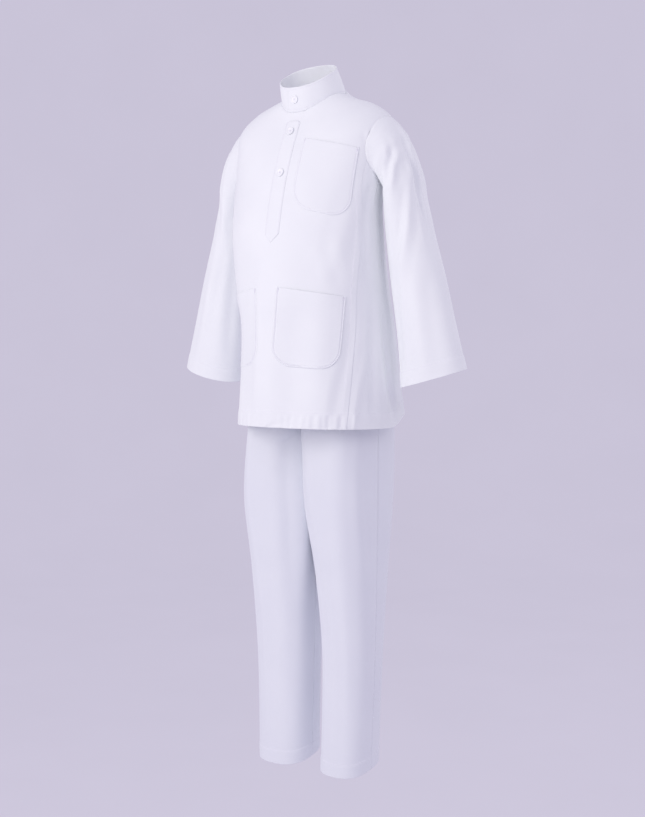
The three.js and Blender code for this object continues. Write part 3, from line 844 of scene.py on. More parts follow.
def side_panel(name, hand, side):
    place = lambda share, row: side_place(hand, side, share, row)
    angle, row, first, last, hem = tunic_panel(place, LOW_ROWS, SIDE_COLUMNS)
    lift = stitched_fold(hem, HEM_DEPTH, FOLD_RISE) - BODY_SEAM_PRESS * bump(first, 2)
    lift += SIDE_SEAM_RISE * smooth((5 - last) / 3) if side < 0 else -SIDE_SEAM_PRESS * bump(last, 2.5)
    points = pulled_in(tunic_cloth(angle, row, lift))
    if side * hand > 0:
        points, hem = points[:, ::-1], hem[:, ::-1]
    piece = cloth_shell(name, points, tunic_poplin, wall=WALL + SIDE_HEM_PLY * (hem[:, :1] < HEM_DEPTH))
    hem_stitches.append(line_at(points, grid_normals(points), hem, HEM_DEPTH))
    tell(name, points, first[0, -1], measured(points, 0)[-1, 3])
    return piece


side_panels = {
    f"side_{place}_{label}": side_panel(f"tunic_side_{place}_{label}", hand, side)
    for label, hand in (("left", 1), ("right", -1))
    for place, side in (("front", -1), ("back", 1))
}

# %% [markdown]
# ## The sleeves
# A baju melayu's sleeve is nearly a straight tube, wide at the wrist, with no cuff. It is set into
# the oval armhole and leaves it pointing down and out, because the arm hangs. Near the armhole
# each ring of points keeps some of the armhole's own shape, and further down it is a plain oval.

# %% Make the sleeves
SLEEVE = table(("inner_x", "inner_z", "outer_x", "outer_z", "y", "depth", "hold", "away", "rise"), [
    (153, -148, 180, -51, 20, 46, 0.5, 2, 0),
    (152, -160, 197, -80, 23, 47, 0.2, 5, 0),
    (151, -176, 205, -118, 25, 47, 0, 8, 0),
    (149, -200, 213, -162, 27, 46, 0, 8, 0),
    (151, -242, 230, -216, 28, 45, 0, 7, 0),
    (160, -320, 255, -295, 28, 44, 0, 8, 0),
    (173, -410, 278, -384, 28, 43, 0, 10, 2),
    (179, -495, 300, -464, 28, 42, 0, 12, 6),
])
CUFF = len(SLEEVE["y"])
ARMHOLE_SEAM = 1.002                # the sleeve's edge just meets the body's, a little sunk in
TUCK = 0.15                         # how deep the sleeve's seam sinks in
SLEEVE_COLUMNS = 108
CUFF_DEPTH = 25


def sleeve_point(hand, turn, step):
    """The sleeve's form. Turn 90 is its outer side and 0 its back; step 0 is the armhole."""
    turn, step = np.broadcast_arrays(np.radians(np.asarray(turn, float)), np.asarray(step, float))
    seam = tunic_point(
        hand * (ARMHOLE["angle"] + ARMHOLE["half_angle"] * np.cos(turn) * ARMHOLE_SEAM),
        ARMHOLE["row"] + ARMHOLE["half_rows"] * np.sin(turn) * ARMHOLE_SEAM)
    row = np.clip(step - 1, 0, None)
    value = {name: along(SLEEVE, name, row) for name in SLEEVE}
    away = value["away"] if hand < 0 else 0
    inner = np.stack([value["inner_x"] + away, value["y"], value["inner_z"]], -1)
    outer = np.stack([value["outer_x"] + away, value["y"], value["outer_z"]], -1)
    target = (inner + outer) / 2 + (outer - inner) / 2 * np.sin(turn)[..., None]
    target[..., 1] += value["depth"] * np.cos(turn)
    target[..., 2] += value["rise"] * np.cos(turn)
    target[..., 0] *= hand
    hold = np.where(step < 1, 1 - step * (1 - value["hold"]), value["hold"])[..., None]
    return target + (seam - target) * hold


# Places are (turn, step) here, and the left sleeve comes first.
SLEEVE_CREASES = {
    1: [
        ([(140, 1.5), (150, 2.3), (165, 2.5), (178, 2.8), (196, 3.1)], 5, -3.0),
        ([(112, 1.3), (117, 2.3), (138, 3.2), (150, 4.1), (183, 5.2), (222, 5.9)], 8, -3.5),
        ([(118, 1.6), (127, 2.6), (148, 3.8), (172, 4.8), (200, 5.5)], 6, 2.4),
        ([(108, 2.2), (120, 3.4), (141, 4.5), (156, 5.2), (205, 6.3)], 8, 2.8),
        ([(106, 1.6), (105, 2.6), (101, 3.2), (98, 3.9), (103, 4.8), (112, 5.8)], 5, -2.8),
        ([(94, 1.0), (93, 1.9), (93, 3.1), (91, 4.2), (94, 5.2)], 5, 2.8),
        ([(200, 5.7), (214, 6.6), (226, 7.7)], 8, -1.8),
        ([(128, 5.8), (139, 6.8), (146, 8.2)], 12, -1.5),
        ([(165, 6.0), (170, 6.9), (176, 8.2)], 11, 1.3),
        ([(5, 1.8), (352, 3.0), (338, 4.6)], 7, -2.2),
        ([(28, 2.2), (40, 3.9), (36, 5.6)], 8, 2.0),
        ([(62, 1.6), (58, 3.2), (64, 5.0)], 7, -2.0),
        ([(60, 5.0), (54, 6.4), (50, 8.1)], 12, -1.6),
        ([(15, 5.4), (8, 6.6), (10, 8.1)], 11, 1.4),
    ],
    -1: [
        ([(137, 1.4), (150, 2.3), (160, 2.9), (174, 3.5)], 5, -2.6),
        ([(118, 2.0), (138, 3.3), (158, 4.5), (184, 5.6)], 8, -2.8),
        ([(126, 2.6), (150, 4.2), (172, 5.4)], 6, 2.0),
        ([(190, 3.4), (181, 4.4), (174, 5.8), (168, 8.1)], 9, 2.2),
        ([(222, 4.2), (226, 5.8), (236, 7.8)], 9, -2.0),
        ([(140, 5.6), (144, 6.8), (140, 8.1)], 11, -1.4),
        ([(100, 1.2), (97, 2.6), (99, 4.2)], 6, 1.9),
        ([(30, 2.4), (20, 3.5), (8, 4.9)], 7, -2.1),
        ([(58, 2.0), (52, 3.6), (57, 5.4)], 8, 1.8),
        ([(66, 4.6), (58, 6.2), (60, 8.0)], 11, -1.6),
        ([(350, 4.8), (346, 6.3), (352, 7.9)], 12, 1.3),
    ],
}


def sleeve_cloth(hand, turn, step, lift=0.0):
    base = sleeve_point(hand, turn, step)
    form = lambda a, b: sleeve_point(hand, a, b)
    height = crease_height(base, SLEEVE_CREASES[hand], form) + lift
    normals = grid_normals(base, True)
    facing = 1 if (normals * (base - base.mean(1, keepdims=True))).sum() > 0 else -1
    return base + facing * normals * height[..., None]


cuff_stitches = []


def sleeve(name, hand):
    outer_line = lambda steps: sleeve_point(hand, np.full_like(steps, 90.0), steps)
    steps = even_rows(outer_line, CUFF, 0, CLOTH_STEP, True)
    turn = np.linspace(0, 360, SLEEVE_COLUMNS, endpoint=False)[None] + 0 * steps[:, None]
    step = steps[:, None] + 0 * turn
    base = sleeve_point(hand, turn, step)
    cuff = measured(base, 0)
    armhole = cuff[-1:] - cuff
    lift = stitched_fold(cuff, CUFF_DEPTH, FOLD_RISE) - TUCK * bump(armhole, 1.5)
    points = facing_out(sleeve_cloth(hand, turn, step, lift))
    piece = cloth_shell(name, points, tunic_poplin, tube=True)
    from_cuff = measured(points, 0)
    cuff_stitches.append(line_at(points, grid_normals(points, True), from_cuff, CUFF_DEPTH))
    tell(name, points, measured(closed(points, True), 1)[20, -1], cuff[-1].mean())
    return piece


sleeves = {"left": sleeve("tunic_sleeve_left", 1), "right": sleeve("tunic_sleeve_right", -1)}

# %% [markdown]
# ## The stand collar
# The cekak musang collar is a straight stand, two layers of poplin round a stiff interlining, so
# it stays round and thick. Its left end laps over its right end at the centre front, where the
# first button closes it. It leans in a little towards the neck.

# %% Make the collar
COLLAR_RIM = (53, 55, -6, -48, 28, 53, 25, 74)
COLLAR_RINGS = table(TUNIC_COLUMNS, [TUNIC_SECTIONS[NECK_ROW], COLLAR_RIM])
COLLAR = {"height": 39, "lap": 13, "ease": 30}
COLLAR_WALL = 1.5
COLLAR_STITCH = 3.0
COLLAR_CORNER = 6.0                 # degrees of the lap's end that its rounded top corner takes
COLLAR_CORNER_DROP = 5
COLLAR_BULGE = 0.5                  # how far the stand bows out between its seams
COLLAR_TUCK = {"in": 0.5, "down": 1.4}  # how its lower edge goes into the neck seam


def collar_point(angle, level, lift=0.0):
    base = tunic_point(angle, np.full_like(angle, float(NECK_ROW)))
    rim = tunic_point(angle, np.ones_like(angle), COLLAR_RINGS)
    side_z, front_z, back_z = COLLAR_RIM[-3:]
    cosine = np.cos(np.radians(angle))
    rim[..., 2] = (side_z + cosine * (front_z - back_z) / 2
                   + cosine ** 2 * ((front_z + back_z) / 2 - side_z))
    base = base + (rim - base) * np.asarray(level)[..., None]
    outward = unit(base * [1, 1, 0])
    over = 1 - smooth((angle - COLLAR["lap"]) / COLLAR["ease"])
    out = over * (COLLAR_WALL + LAY_GAP) + lift
    return base + outward * out[..., None] + [0, 0, 2 * SEAM_GAP]


collar_stitches = []


def make_collar():
    angle = np.linspace(-COLLAR["lap"], 360 + COLLAR["lap"], 150)[None]
    level = np.array([0, 0.03, 0.07, 0.11, 0.2, 0.35, 0.5, 0.65, 0.8, 0.87, 0.92, 0.96, 1])[:, None]
    angle, level = np.broadcast_arrays(angle, level)
    edge = np.minimum(level, 1 - level) * COLLAR["height"]
    sink = -0.2 * bump(edge - COLLAR_STITCH, 0.9)
    tuck = bump(level * COLLAR["height"], 0.8)
    bulge = COLLAR_BULGE * np.sin(math.pi * level)
    points = collar_point(angle, level, bulge + sink - COLLAR_TUCK["in"] * tuck)
    points[..., 2] -= COLLAR_TUCK["down"] * tuck
    corner = COLLAR_CORNER - (angle + COLLAR["lap"]) - (1 - level) * COLLAR_CORNER
    points[..., 2] -= COLLAR_CORNER_DROP * np.clip(corner / COLLAR_CORNER, 0, 1) ** 2
    height, normals = level * COLLAR["height"], grid_normals(points)
    for distance in (COLLAR_STITCH, COLLAR["height"] - COLLAR_STITCH):
        collar_stitches.append(line_at(points, normals, height, distance))
    return cloth_shell("tunic_collar", points, tunic_poplin, wall=COLLAR_WALL, edge_roll=0.5)


collar = make_collar()
print("collar", COLLAR["height"], "mm high")

# %% [markdown]
# ## Pieces laid on the front
# A placket or a pocket follows the cloth under it, creases and all. So its points are places on
# the front, by their distance round the body from the centre and their height, moved out by the
# cloth's thickness. A small table of distances, measured once along the form, turns a distance
# back into an angle.

# %% Find places on the front by distance
LAY_ANGLES = np.arange(0.0, 91.0)
LAY_HEIGHTS = np.arange(-480.0, -24.0, 4.0)
LAY_TABLE = {
    hand: measured(tunic_place(hand * LAY_ANGLES[None], LAY_HEIGHTS[:, None]), 1) for hand in (1, -1)
}


def laid_angle(distance, z):
    """Angle of a place at a distance round the body from the centre front, at a height."""
    distance, z = np.broadcast_arrays(np.asarray(distance, float), np.asarray(z, float))
    level = (z - LAY_HEIGHTS[0]) / (LAY_HEIGHTS[1] - LAY_HEIGHTS[0])
    low = np.clip(np.floor(level).astype(int), 0, len(LAY_HEIGHTS) - 2)
    angle = np.zeros(distance.shape)
    for spot in np.ndindex(distance.shape):
        hand = -1 if distance[spot] < 0 else 1
        lines = LAY_TABLE[hand]
        line = mix(lines[low[spot]], lines[low[spot] + 1], level[spot] - low[spot])
        angle[spot] = hand * np.interp(abs(distance[spot]), line, LAY_ANGLES)
    return angle


def laid_cloth(distance, z, lift=0.0):
    angle = laid_angle(distance, z)
    return tunic_cloth(angle, row_at_height(angle, z), lift)


def laid_normal(distance, z):
    angle = laid_angle(distance, z)
    return tunic_normal(angle, row_at_height(angle, z))


print("30 mm round from the centre is", round(float(laid_angle(30, -180)), 1), "degrees")

# %% [markdown]
# ## The placket
# The neck opens down the chest under a strip 30 mm wide, which ends in a point. It is folded, laid
# over the slit and topstitched close to both edges, so its edges are thick and its rows of
# stitches sink in.

# %% Make the placket
PLACKET = {"width": 30, "top": -32, "bottom": -232, "point": 15, "shoulder": 4}
EDGE_STITCH = 2.2
EDGE_PRESS = 0.75
EDGE_CROWN = 0.25
EDGE_GROOVE = 0.45
LAID_UP = LAY_WALL + LAY_GAP        # the outer face of a laid piece, above the cloth
PLACKET_TIP = 0.75                  # its pointed edges' distance, for each millimetre of height


def from_middle(share):
    return np.abs(share - 0.5) * 2


def placket_edges(share):
    top = PLACKET["top"] - PLACKET["shoulder"] * from_middle(share) ** 3
    return top, PLACKET["bottom"] - PLACKET["point"] * (1 - from_middle(share))


def laid_wall(lift):
    """A laid piece's wall, thinner where it is pressed down, so that it stays off plain cloth."""
    return np.clip(lift - LAY_CLEAR, LAY_CLEAR, LAY_WALL)


def edge_relief(distance):
    """A folded edge, pressed down on the cloth, with a row of stitches close to it."""
    crown = EDGE_CROWN - EDGE_PRESS * bump(distance, 0.9)
    return crown - EDGE_GROOVE * bump(distance - EDGE_STITCH - 0.8, 1.2)


laid_stitches = []


def make_placket():
    width = PLACKET["width"]
    share = panel_shares(width, 8, EDGE_STEPS[:5], EDGE_STEPS[:5])[None]
    level = np.concatenate([np.linspace(0, 0.04, 6)[:-1], np.linspace(0.04, 1, 60)])[:, None]
    share, level = np.broadcast_arrays(share, level)
    top, bottom = placket_edges(share)
    z = mix(bottom, top, level)
    side = np.minimum(share, 1 - share) * width
    tip = (z - bottom) * PLACKET_TIP
    lift = LAID_UP + edge_relief(np.minimum(side, tip))
    points = laid_cloth((share - 0.5) * width, z, lift)
    for distance in (EDGE_STITCH, width - EDGE_STITCH):
        laid_stitches.append(line_up(points, grid_normals(points), share * width, distance))
    piece = cloth_shell("tunic_placket", points, tunic_poplin, wall=laid_wall(lift))
    length = PLACKET["top"] - PLACKET["bottom"] + PLACKET["point"]
    cuts[piece.name] = (width * MM, length * MM, cuts[piece.name][2])
    return piece


placket = make_placket()
print("placket", PLACKET["width"], "x", PLACKET["top"] - PLACKET["bottom"] + PLACKET["point"], "mm")

# %% [markdown]
# ## The patch pockets
# Each pocket is cut as a rectangle with rounded lower corners. Its mouth is a hem, turned twice,
# and the other edges are pressed under and sewn to the front. A worn pocket stands away from the
# tunic a little at its mouth, so the mouth bows out between its two bar tacks.

# %% Make the pockets
POCKETS = {
    "chest": {"start": 33, "width": 107, "top": -66, "top_drop": 22, "bottom_drop": 24,
              "lean": 0, "depth": 120, "corner": 36, "gape": 1.0, "rim": 0.4},
    "lower": {"start": 22, "width": 122, "top": -324, "top_drop": 17, "bottom_drop": 7,
              "lean": -8, "depth": 134, "corner": 36, "gape": 1.4, "rim": 1.0},
}
POCKET_HEM = 20
POCKET_STEPS = 40                   # rows of points between the lower edge and the mouth's hem
HEM_ROWS = np.array([-1.5, -0.7, 0, 0.7, 1.5])
DIMPLE = {"depth": 0.9, "place": 4, "width": 2.4}   # by each bar tack, where the hand pulls
RIM_STEPS = np.array([0, 0.5, 1, 1.6, 2.3, 3, 3.7, 4.5, 5.6, 7, 8.5])
RIM_STITCH = 3.4
STITCH_UP = 0.05                    # how far the stitches' middles lie above the pocket,
TACK_UP = 0.35                      # and the same for the bar tacks and the buttons' seats
TACK_TURNS = 22


def corner_rise(share, width, corner):
    inset = corner - np.minimum(share, 1 - share) * width
    return np.where(inset > 0, corner - np.sqrt(np.clip(corner ** 2 - inset ** 2, 0, None)), 0)


def pocket_place(size, hand, share, level):
    """Distance round and height of a pocket's point: share 0 is its edge near the centre."""
    top = size["top"] - size["top_drop"] * share
    bottom = size["top"] - size["depth"] - size["bottom_drop"] * share
    bottom = bottom + corner_rise(share, size["width"], size["corner"])
    distance = size["start"] + size["width"] * share + size["lean"] * (1 - level)
    return hand * distance, mix(bottom, top, level)


def pocket_edge_distance(size, share, level):
    """Distance of a pocket's point from its sides and rounded lower edge, in millimetres."""
    side = np.minimum(share, 1 - share) * size["width"]
    corner = size["corner"]
    lowest = corner_rise(share, size["width"], corner)
    rise = lowest + level * (size["depth"] - lowest)
    inset, up = corner - side, corner - rise
    rounded = corner - np.hypot(np.clip(inset, 0, None), np.clip(up, 0, None))
    return np.clip(np.where((inset > 0) & (up > 0), rounded, np.minimum(side, rise)), 0, None)


def pocket_stitches(size, hand, inset):
    """The line of stitches down one side of a pocket, round its lower edge and up the other."""
    width, depth, corner = size["width"], size["depth"], size["corner"]
    turn = np.radians(np.linspace(180, 270, 12))
    reach = corner - inset
    x = np.concatenate([np.full(20, inset), corner + reach * np.cos(turn)])
    y = np.concatenate([np.linspace(depth - 1, corner, 20), corner + reach * np.sin(turn)])
    x, y = np.concatenate([x, width - x[::-1]]), np.concatenate([y, y[::-1]])
    share = x / width
    rise = corner_rise(share, width, corner)
    distance, z = pocket_place(size, hand, share, (y - rise) / (depth - rise))
    return laid_cloth(distance, z, LAID_UP + STITCH_UP), laid_normal(distance, z)


def rim_relief(distance):
    """A pocket's thick turned edge stands up outside its stitches, and again a little inside them."""
    rim = 0.85 * bump(distance - 1.5, 0.9) + 0.3 * bump(distance - 5.6, 1.2)
    return rim - 0.5 * bump(distance - RIM_STITCH, 0.8) - 0.6 * bump(distance, 0.6)


def bar_tacks(size, hand):
    """A short zigzag of thread at each end of the mouth, where the hand pulls."""
    tacks = []
    step = np.arange(TACK_TURNS)
    for place in (RIM_STITCH, size["width"] - RIM_STITCH):
        share = (place + 0.8 * (step % 2 - 0.5)) / size["width"]
        distance, z = pocket_place(size, hand, share, 1 - (1 + 0.4 * step) / size["depth"])
        tacks.append((laid_cloth(distance, z, LAID_UP + TACK_UP), laid_normal(distance, z)))
    return tacks


PRESSED_FLAT = 0.3  # the right pocket was ironed flatter than the left
tack_lines = []


def pocket(name, size, hand):
    share = panel_shares(size["width"], 44, RIM_STEPS, RIM_STEPS)[None]
    depth = size["depth"]
    hem_line = depth - POCKET_HEM
    stops = np.concatenate([RIM_STEPS, np.linspace(10.5, hem_line - 3, POCKET_STEPS),
                            hem_line + HEM_ROWS, np.linspace(hem_line + 4, depth - 1, 6), [depth]])
    share, level = np.broadcast_arrays(share, (stops / depth)[:, None])
    distance, z = pocket_place(size, hand, share, level)
    from_edge = pocket_edge_distance(size, share, level)
    bow = size["gape"] * np.sin(math.pi * share) ** 0.7 * smooth((level - 0.55) / 0.45)
    mouth = (1 - level) * depth
    hem = 0.12 * (1 - smooth((mouth - POCKET_HEM) / 2.5)) - 0.3 * bump(mouth, 0.9)
    from_side = np.minimum(share, 1 - share) * size["width"]
    corner = (from_side - DIMPLE["place"]) ** 2 + (mouth - DIMPLE["place"]) ** 2
    pulled = -DIMPLE["depth"] * np.exp(-corner / DIMPLE["width"] ** 2)
    pressed = 1 if hand > 0 else PRESSED_FLAT
    lift = pressed * (LAID_UP + size["rim"] * (rim_relief(from_edge) + pulled) + hem) + bow
    lift = np.maximum(lift, LAY_LOWEST)
    points, wall = laid_cloth(distance, z, lift), laid_wall(lift)
    if hand < 0:
        points, wall = points[:, ::-1], wall[:, ::-1]
    laid_stitches.append(pocket_stitches(size, hand, RIM_STITCH))
    tack_lines.extend(bar_tacks(size, hand))
    piece = cloth_shell(name, points, tunic_poplin, wall=wall)
    cuts[name] = (size["width"] * MM, (depth + size["bottom_drop"]) * MM, cuts[name][2])
    print(name, size["width"], "x", depth, "mm")
    return piece


pockets = {
    "chest": pocket("tunic_pocket_chest", POCKETS["chest"], 1),
    "left": pocket("tunic_pocket_left", POCKETS["lower"], 1),
    "right": pocket("tunic_pocket_right", POCKETS["lower"], -1),
}

# %% [markdown]
# ## The buttons
# Each button is turned from cast polyester: a flat back, a raised rim and a dished middle. A
# profile is spun round the axis. A real one has four holes, full of thread, so a small knob of
# thread stands in the place of each hole, and two bars of thread cross between them.

# %% Make the buttons
BUTTON = {"radius": 7.2, "thick": 2.4, "rim": 1.5, "sunk": 0.8, "edge": 0.7, "slope": 0.8}
DISH = {"radius": 3.4, "sunk": 0.1, "hub": 0.5}     # the dished middle, a little below the slope
HOLE_RADIUS = 0.85
HOLE_PLACE = 1.55                   # from the button's middle
HOLE_TURNS = [math.radians(a) for a in (45, 135, 225, 315)]
# Radius and height, above the dished face, of a knob's rings; and of a bar's, along its length.
KNOB = ((HOLE_RADIUS, -0.25), (HOLE_RADIUS, 0.04), (HOLE_RADIUS * 0.8, 0.16), (0.15, 0.06))
BAR = ((0.1, -HOLE_PLACE), (0.4, -HOLE_PLACE * 0.7), (0.4, HOLE_PLACE * 0.7), (0.1, HOLE_PLACE))
BAR_FLAT = 0.7
BAR_UP = 0.35
BUTTON_HEIGHTS = (-52, -126)
SPIN_STEPS = 64


def spun(profile, steps=SPIN_STEPS):
    """Vertices and faces of a profile of (radius, height) points spun round +Z."""
    turn = np.linspace(0, 2 * math.pi, steps, endpoint=False)
    radius, height = np.array(profile, float).T
    ring = np.stack([np.cos(turn), np.sin(turn)], -1)
    flat = radius[:, None, None] * ring[None]
    points = np.concatenate([flat, np.broadcast_to(height[:, None, None], (*flat.shape[:2], 1))], -1)
    return points.reshape(-1, 3), ring_faces(0, len(profile), steps)


def seated(vertices, point, normal):
    """The same vertices with +Z turned to a normal and the origin moved to a point."""
    side = unit(np.cross([0, 0, 1.0], normal))
    return point + vertices @ np.stack([side, np.cross(normal, side), normal])


def shape_from(name, parts, material):
    """One mesh from several closed shapes, each a pair of vertices and faces."""
    vertices, faces, count = [], [], 0
    for points, part_faces in parts:
        vertices.append(points)
        faces += [tuple(count + v for v in face) for face in part_faces]
        count += len(points)
    return new_piece(name, np.concatenate(vertices), faces, material)


def button(number, point, normal):
    radius, thick, rim, sunk = (BUTTON[k] for k in ("radius", "thick", "rim", "sunk"))
    edge, slope = BUTTON["edge"], BUTTON["slope"]
    arc = np.linspace(0, math.pi / 2, 5)
    face_height = thick - sunk - DISH["sunk"]
    profile = [(DISH["hub"], 0), (radius - edge, 0), (radius, edge)]
    profile += [(radius - edge + edge * math.cos(a), thick - edge + edge * math.sin(a)) for a in arc]
    profile += [(radius - rim, thick), (radius - rim - slope, thick - sunk)]
    profile += [(DISH["radius"], face_height), (DISH["hub"], face_height)]
    seat = point + normal * SEAM_GAP
    vertices, faces = spun(profile)
    resin = shape_from(f"button_{number}_resin", [(seated(vertices, seat, normal), faces)], button_resin)
    parts = []
    for a in HOLE_TURNS:
        knob, knob_faces = spun([(size, face_height + height) for size, height in KNOB], 16)
        knob = knob + [HOLE_PLACE * math.cos(a), HOLE_PLACE * math.sin(a), 0]
        parts.append((seated(knob, seat, normal), knob_faces))
    for a in HOLE_TURNS[:2]:
        bar, bar_faces = spun(BAR, 10)
        x, y, z = (bar[:, [2, 1, 0]] * [1, 1, BAR_FLAT]).T
        turned = np.stack([x * math.cos(a) - y * math.sin(a), x * math.sin(a) + y * math.cos(a),
                           z + (face_height + BAR_UP)], -1)
        parts.append((seated(turned, seat, normal), bar_faces))
    thread = shape_from(f"button_{number}_thread", parts, sewing_thread)
    thread.parent = resin
    return resin


def collar_spot():
    angle = np.array([-1.0, 0.0, 1.0])
    run = collar_point(angle, np.full(3, 0.5))
    rise = collar_point(np.zeros(2), np.array([0.0, 1.0]))
    return run[1], unit(np.cross(run[2] - run[0], rise[1] - rise[0]))


button_spots = [collar_spot()] + [
    (laid_cloth(np.zeros(1), np.full(1, float(z)), LAID_UP + TACK_UP)[0], laid_normal(0.0, float(z)))
    for z in BUTTON_HEIGHTS
]
buttons = [button(i + 1, point, normal) for i, (point, normal) in enumerate(button_spots)]
print("buttons at heights", [round(float(point[2])) for point, _ in button_spots])

# %% [markdown]
# ## The trousers
# Straight trousers hang under the tunic. Each leg is a front and a back panel, sewn at the side and
# inside. Above the crotch both legs share one oval, below it each turns into a tube of its own.

# %% Make the trousers
HIPS = table(("left", "right", "y", "front", "back", "z"), [
    (118, 105, 16, -70, 90, -402),
    (132, 111, 20, -90, 104, -455),
    (136, 120.8, 22, -96, 110, -515),
])
LEGS = table(("inner_left", "inner_right", "left", "right", "y", "depth", "z", "rise", "square"), [
    (0.2, 0.2, 129, 120, 24, 92, -575, 0, 3),
    (2, 2, 127, 134, 26, 86, -700, 0, 3.4),
    (17, 10, 124, 131, 28, 68, -840, 0, 3),
    (24, 15, 120, 128, 29, 56, -990, 6, 2.7),
    (20, 18, 114, 122, 26, 52, -1196, 21, 2.6),
])
HIP_COUNT = len(HIPS["z"])
LEG_END = HIP_COUNT + len(LEGS["z"]) - 1
LEG_HEM = 24
LEG_STEP = 4.5
LEG_COLUMNS = 40
LEG_SEAM_PRESS = 0.4
WAISTBAND = 30
WAIST_COLUMNS = 144
GATHER = {"height": 0.7, "count": 54}


def leg_point(hand, side, share, row):
    """A leg's form: side -1 is the front panel, share 0 its inner edge and 1 its side seam."""
    share, row = np.broadcast_arrays(np.asarray(share, float), np.asarray(row, float))
    label = "left" if hand > 0 else "right"
    hip = {name: along(HIPS, name, np.minimum(row, HIP_COUNT - 1)) for name in HIPS}
    leg = {name: along(LEGS, name, np.clip(row - HIP_COUNT, 0, None)) for name in LEGS}
    turn = np.radians(90 * share)
    edge = hip["front"] if side < 0 else hip["back"]
    high = np.stack([
        hip[label] * soft_power(np.sin(turn)),
        hip["y"] + (edge - hip["y"]) * soft_power(np.cos(turn)),
        hip["z"],
    ], -1)
    swing = np.radians(180 * share)
    forward = side * soft_power(np.sin(swing), leg["square"])
    low = np.stack([
        mix(leg["inner_" + label], leg[label], (1 - soft_power(np.cos(swing), leg["square"])) / 2),
        leg["y"] + leg["depth"] * forward,
        leg["z"] + leg["rise"] * (1 + forward) / 2,
    ], -1)
    point = high + (low - high) * smooth(row - HIP_COUNT + 1)[..., None]
    return point * [hand, 1, 1]


# Places are (share, row): pressed edges down each leg, and short pulls below the seat and knees.
LEG_CREASES = {
    (1, -1): [
        ([(0.42, 2.9), (0.46, 4.4), (0.49, 5.6), (0.5, 7.2)], 8, 2.0),
        ([(0.68, 3.2), (0.7, 4.8), (0.72, 6.8)], 12, -1.6),
        ([(0.06, 2.7), (0.08, 3.4), (0.08, 4.2), (0.08, 5.6)], 16, 6.0),
        ([(0.2, 3.2), (0.3, 3.8), (0.4, 4.6)], 13, -1.0),
        ([(0.12, 4.6), (0.16, 5.6), (0.12, 6.8)], 9, -1.3),
        ([(0.86, 2.6), (0.84, 3.8), (0.88, 5.2)], 9, 1.5),
    ],
    (-1, -1): [
        ([(0.6, 3.0), (0.58, 4.4), (0.55, 5.6), (0.54, 7.2)], 9, 2.0),
        ([(0.3, 3.4), (0.26, 4.8), (0.28, 6.6)], 12, -1.5),
        ([(0.07, 2.6), (0.1, 3.3), (0.1, 4.2), (0.1, 5.6)], 18, 9.0),
        ([(0.3, 3.0), (0.36, 3.6), (0.44, 4.3)], 14, -0.9),
        ([(0.8, 4.2), (0.82, 5.4), (0.78, 6.8)], 10, -1.3),
    ],
    (1, 1): [
        ([(0.5, 3.0), (0.52, 4.6), (0.5, 7.2)], 9, 2.0),
        ([(0.12, 2.4), (0.3, 3.1), (0.56, 3.7)], 9, -2.0),
        ([(0.24, 4.7), (0.5, 4.95), (0.74, 4.8)], 6, -1.3),
        ([(0.8, 3.2), (0.76, 5.0), (0.8, 6.7)], 12, -1.5),
    ],
    (-1, 1): [
        ([(0.48, 3.1), (0.5, 4.8), (0.51, 7.2)], 9, 1.9),
        ([(0.15, 2.5), (0.36, 3.2), (0.6, 3.6)], 8, -1.9),
        ([(0.3, 4.8), (0.52, 5.1), (0.7, 4.9)], 6, -1.2),
        ([(0.22, 4.0), (0.2, 5.4), (0.24, 6.9)], 11, -1.4),
    ],
}


leg_stitches = []


def leg_panel(name, hand, side):
    middle = lambda rows: leg_point(hand, side, np.full_like(rows, 0.5), rows)
    rows = even_rows(middle, LEG_END, 0, LEG_STEP, True)
    form = lambda share, row: leg_point(hand, side, share, row)
    base = form(*panel_grid(form, rows, LEG_COLUMNS))
    first, last = edge_distance(base)
    hem = measured(base, 0)
    lift = stitched_fold(hem, LEG_HEM, FOLD_RISE) - LEG_SEAM_PRESS * bump(np.minimum(first, last), 2.5)
    lift = lift + crease_height(base, LEG_CREASES[hand, side], form)
    if side * hand > 0:
        base, lift = base[:, ::-1], lift[:, ::-1]
    points = pulled_in(base + grid_normals(base) * lift[..., None])
    leg_stitches.append(line_at(points, grid_normals(points), measured(points, 0), LEG_HEM))
    tell(name, points, first[0, -1], hem[-1, 20])
    return cloth_shell(name, points, trouser_twill)


leg_panels = {
    f"leg_{place}_{label}": leg_panel(f"trouser_{place}_{label}", hand, side)
    for label, hand in (("left", 1), ("right", -1))
    for place, side in (("front", -1), ("back", 1))
}


def make_waistband():
    turn = np.linspace(0, 360, WAIST_COLUMNS, endpoint=False)
    hand = np.where(turn > 180, -1, 1)
    side = np.where(np.cos(np.radians(turn)) > 0, -1, 1)
    fold = np.where(turn % 180 > 90, 180 - turn % 180, turn % 180) / 90
    ring = np.stack([leg_point(h, s, f, 0.0) for h, s, f in zip(hand, side, fold)])
    rise = np.linspace(SEAM_GAP, WAISTBAND, 14)[:, None]
    gathers = GATHER["height"] * np.sin(np.radians(turn * GATHER["count"]))[None]
    gathers = gathers * np.sin(math.pi * (rise / WAISTBAND))
    outward = unit((ring - [0, ring[:, 1].mean(), 0]) * [1, 1, 0])
    points = ring[None] + outward[None] * gathers[..., None]
    points[..., 2] += rise
    return cloth_shell("trouser_waistband", facing_out(points), trouser_twill, tube=True)


waistband = make_waistband()
print("waistband", WAISTBAND, "mm deep")
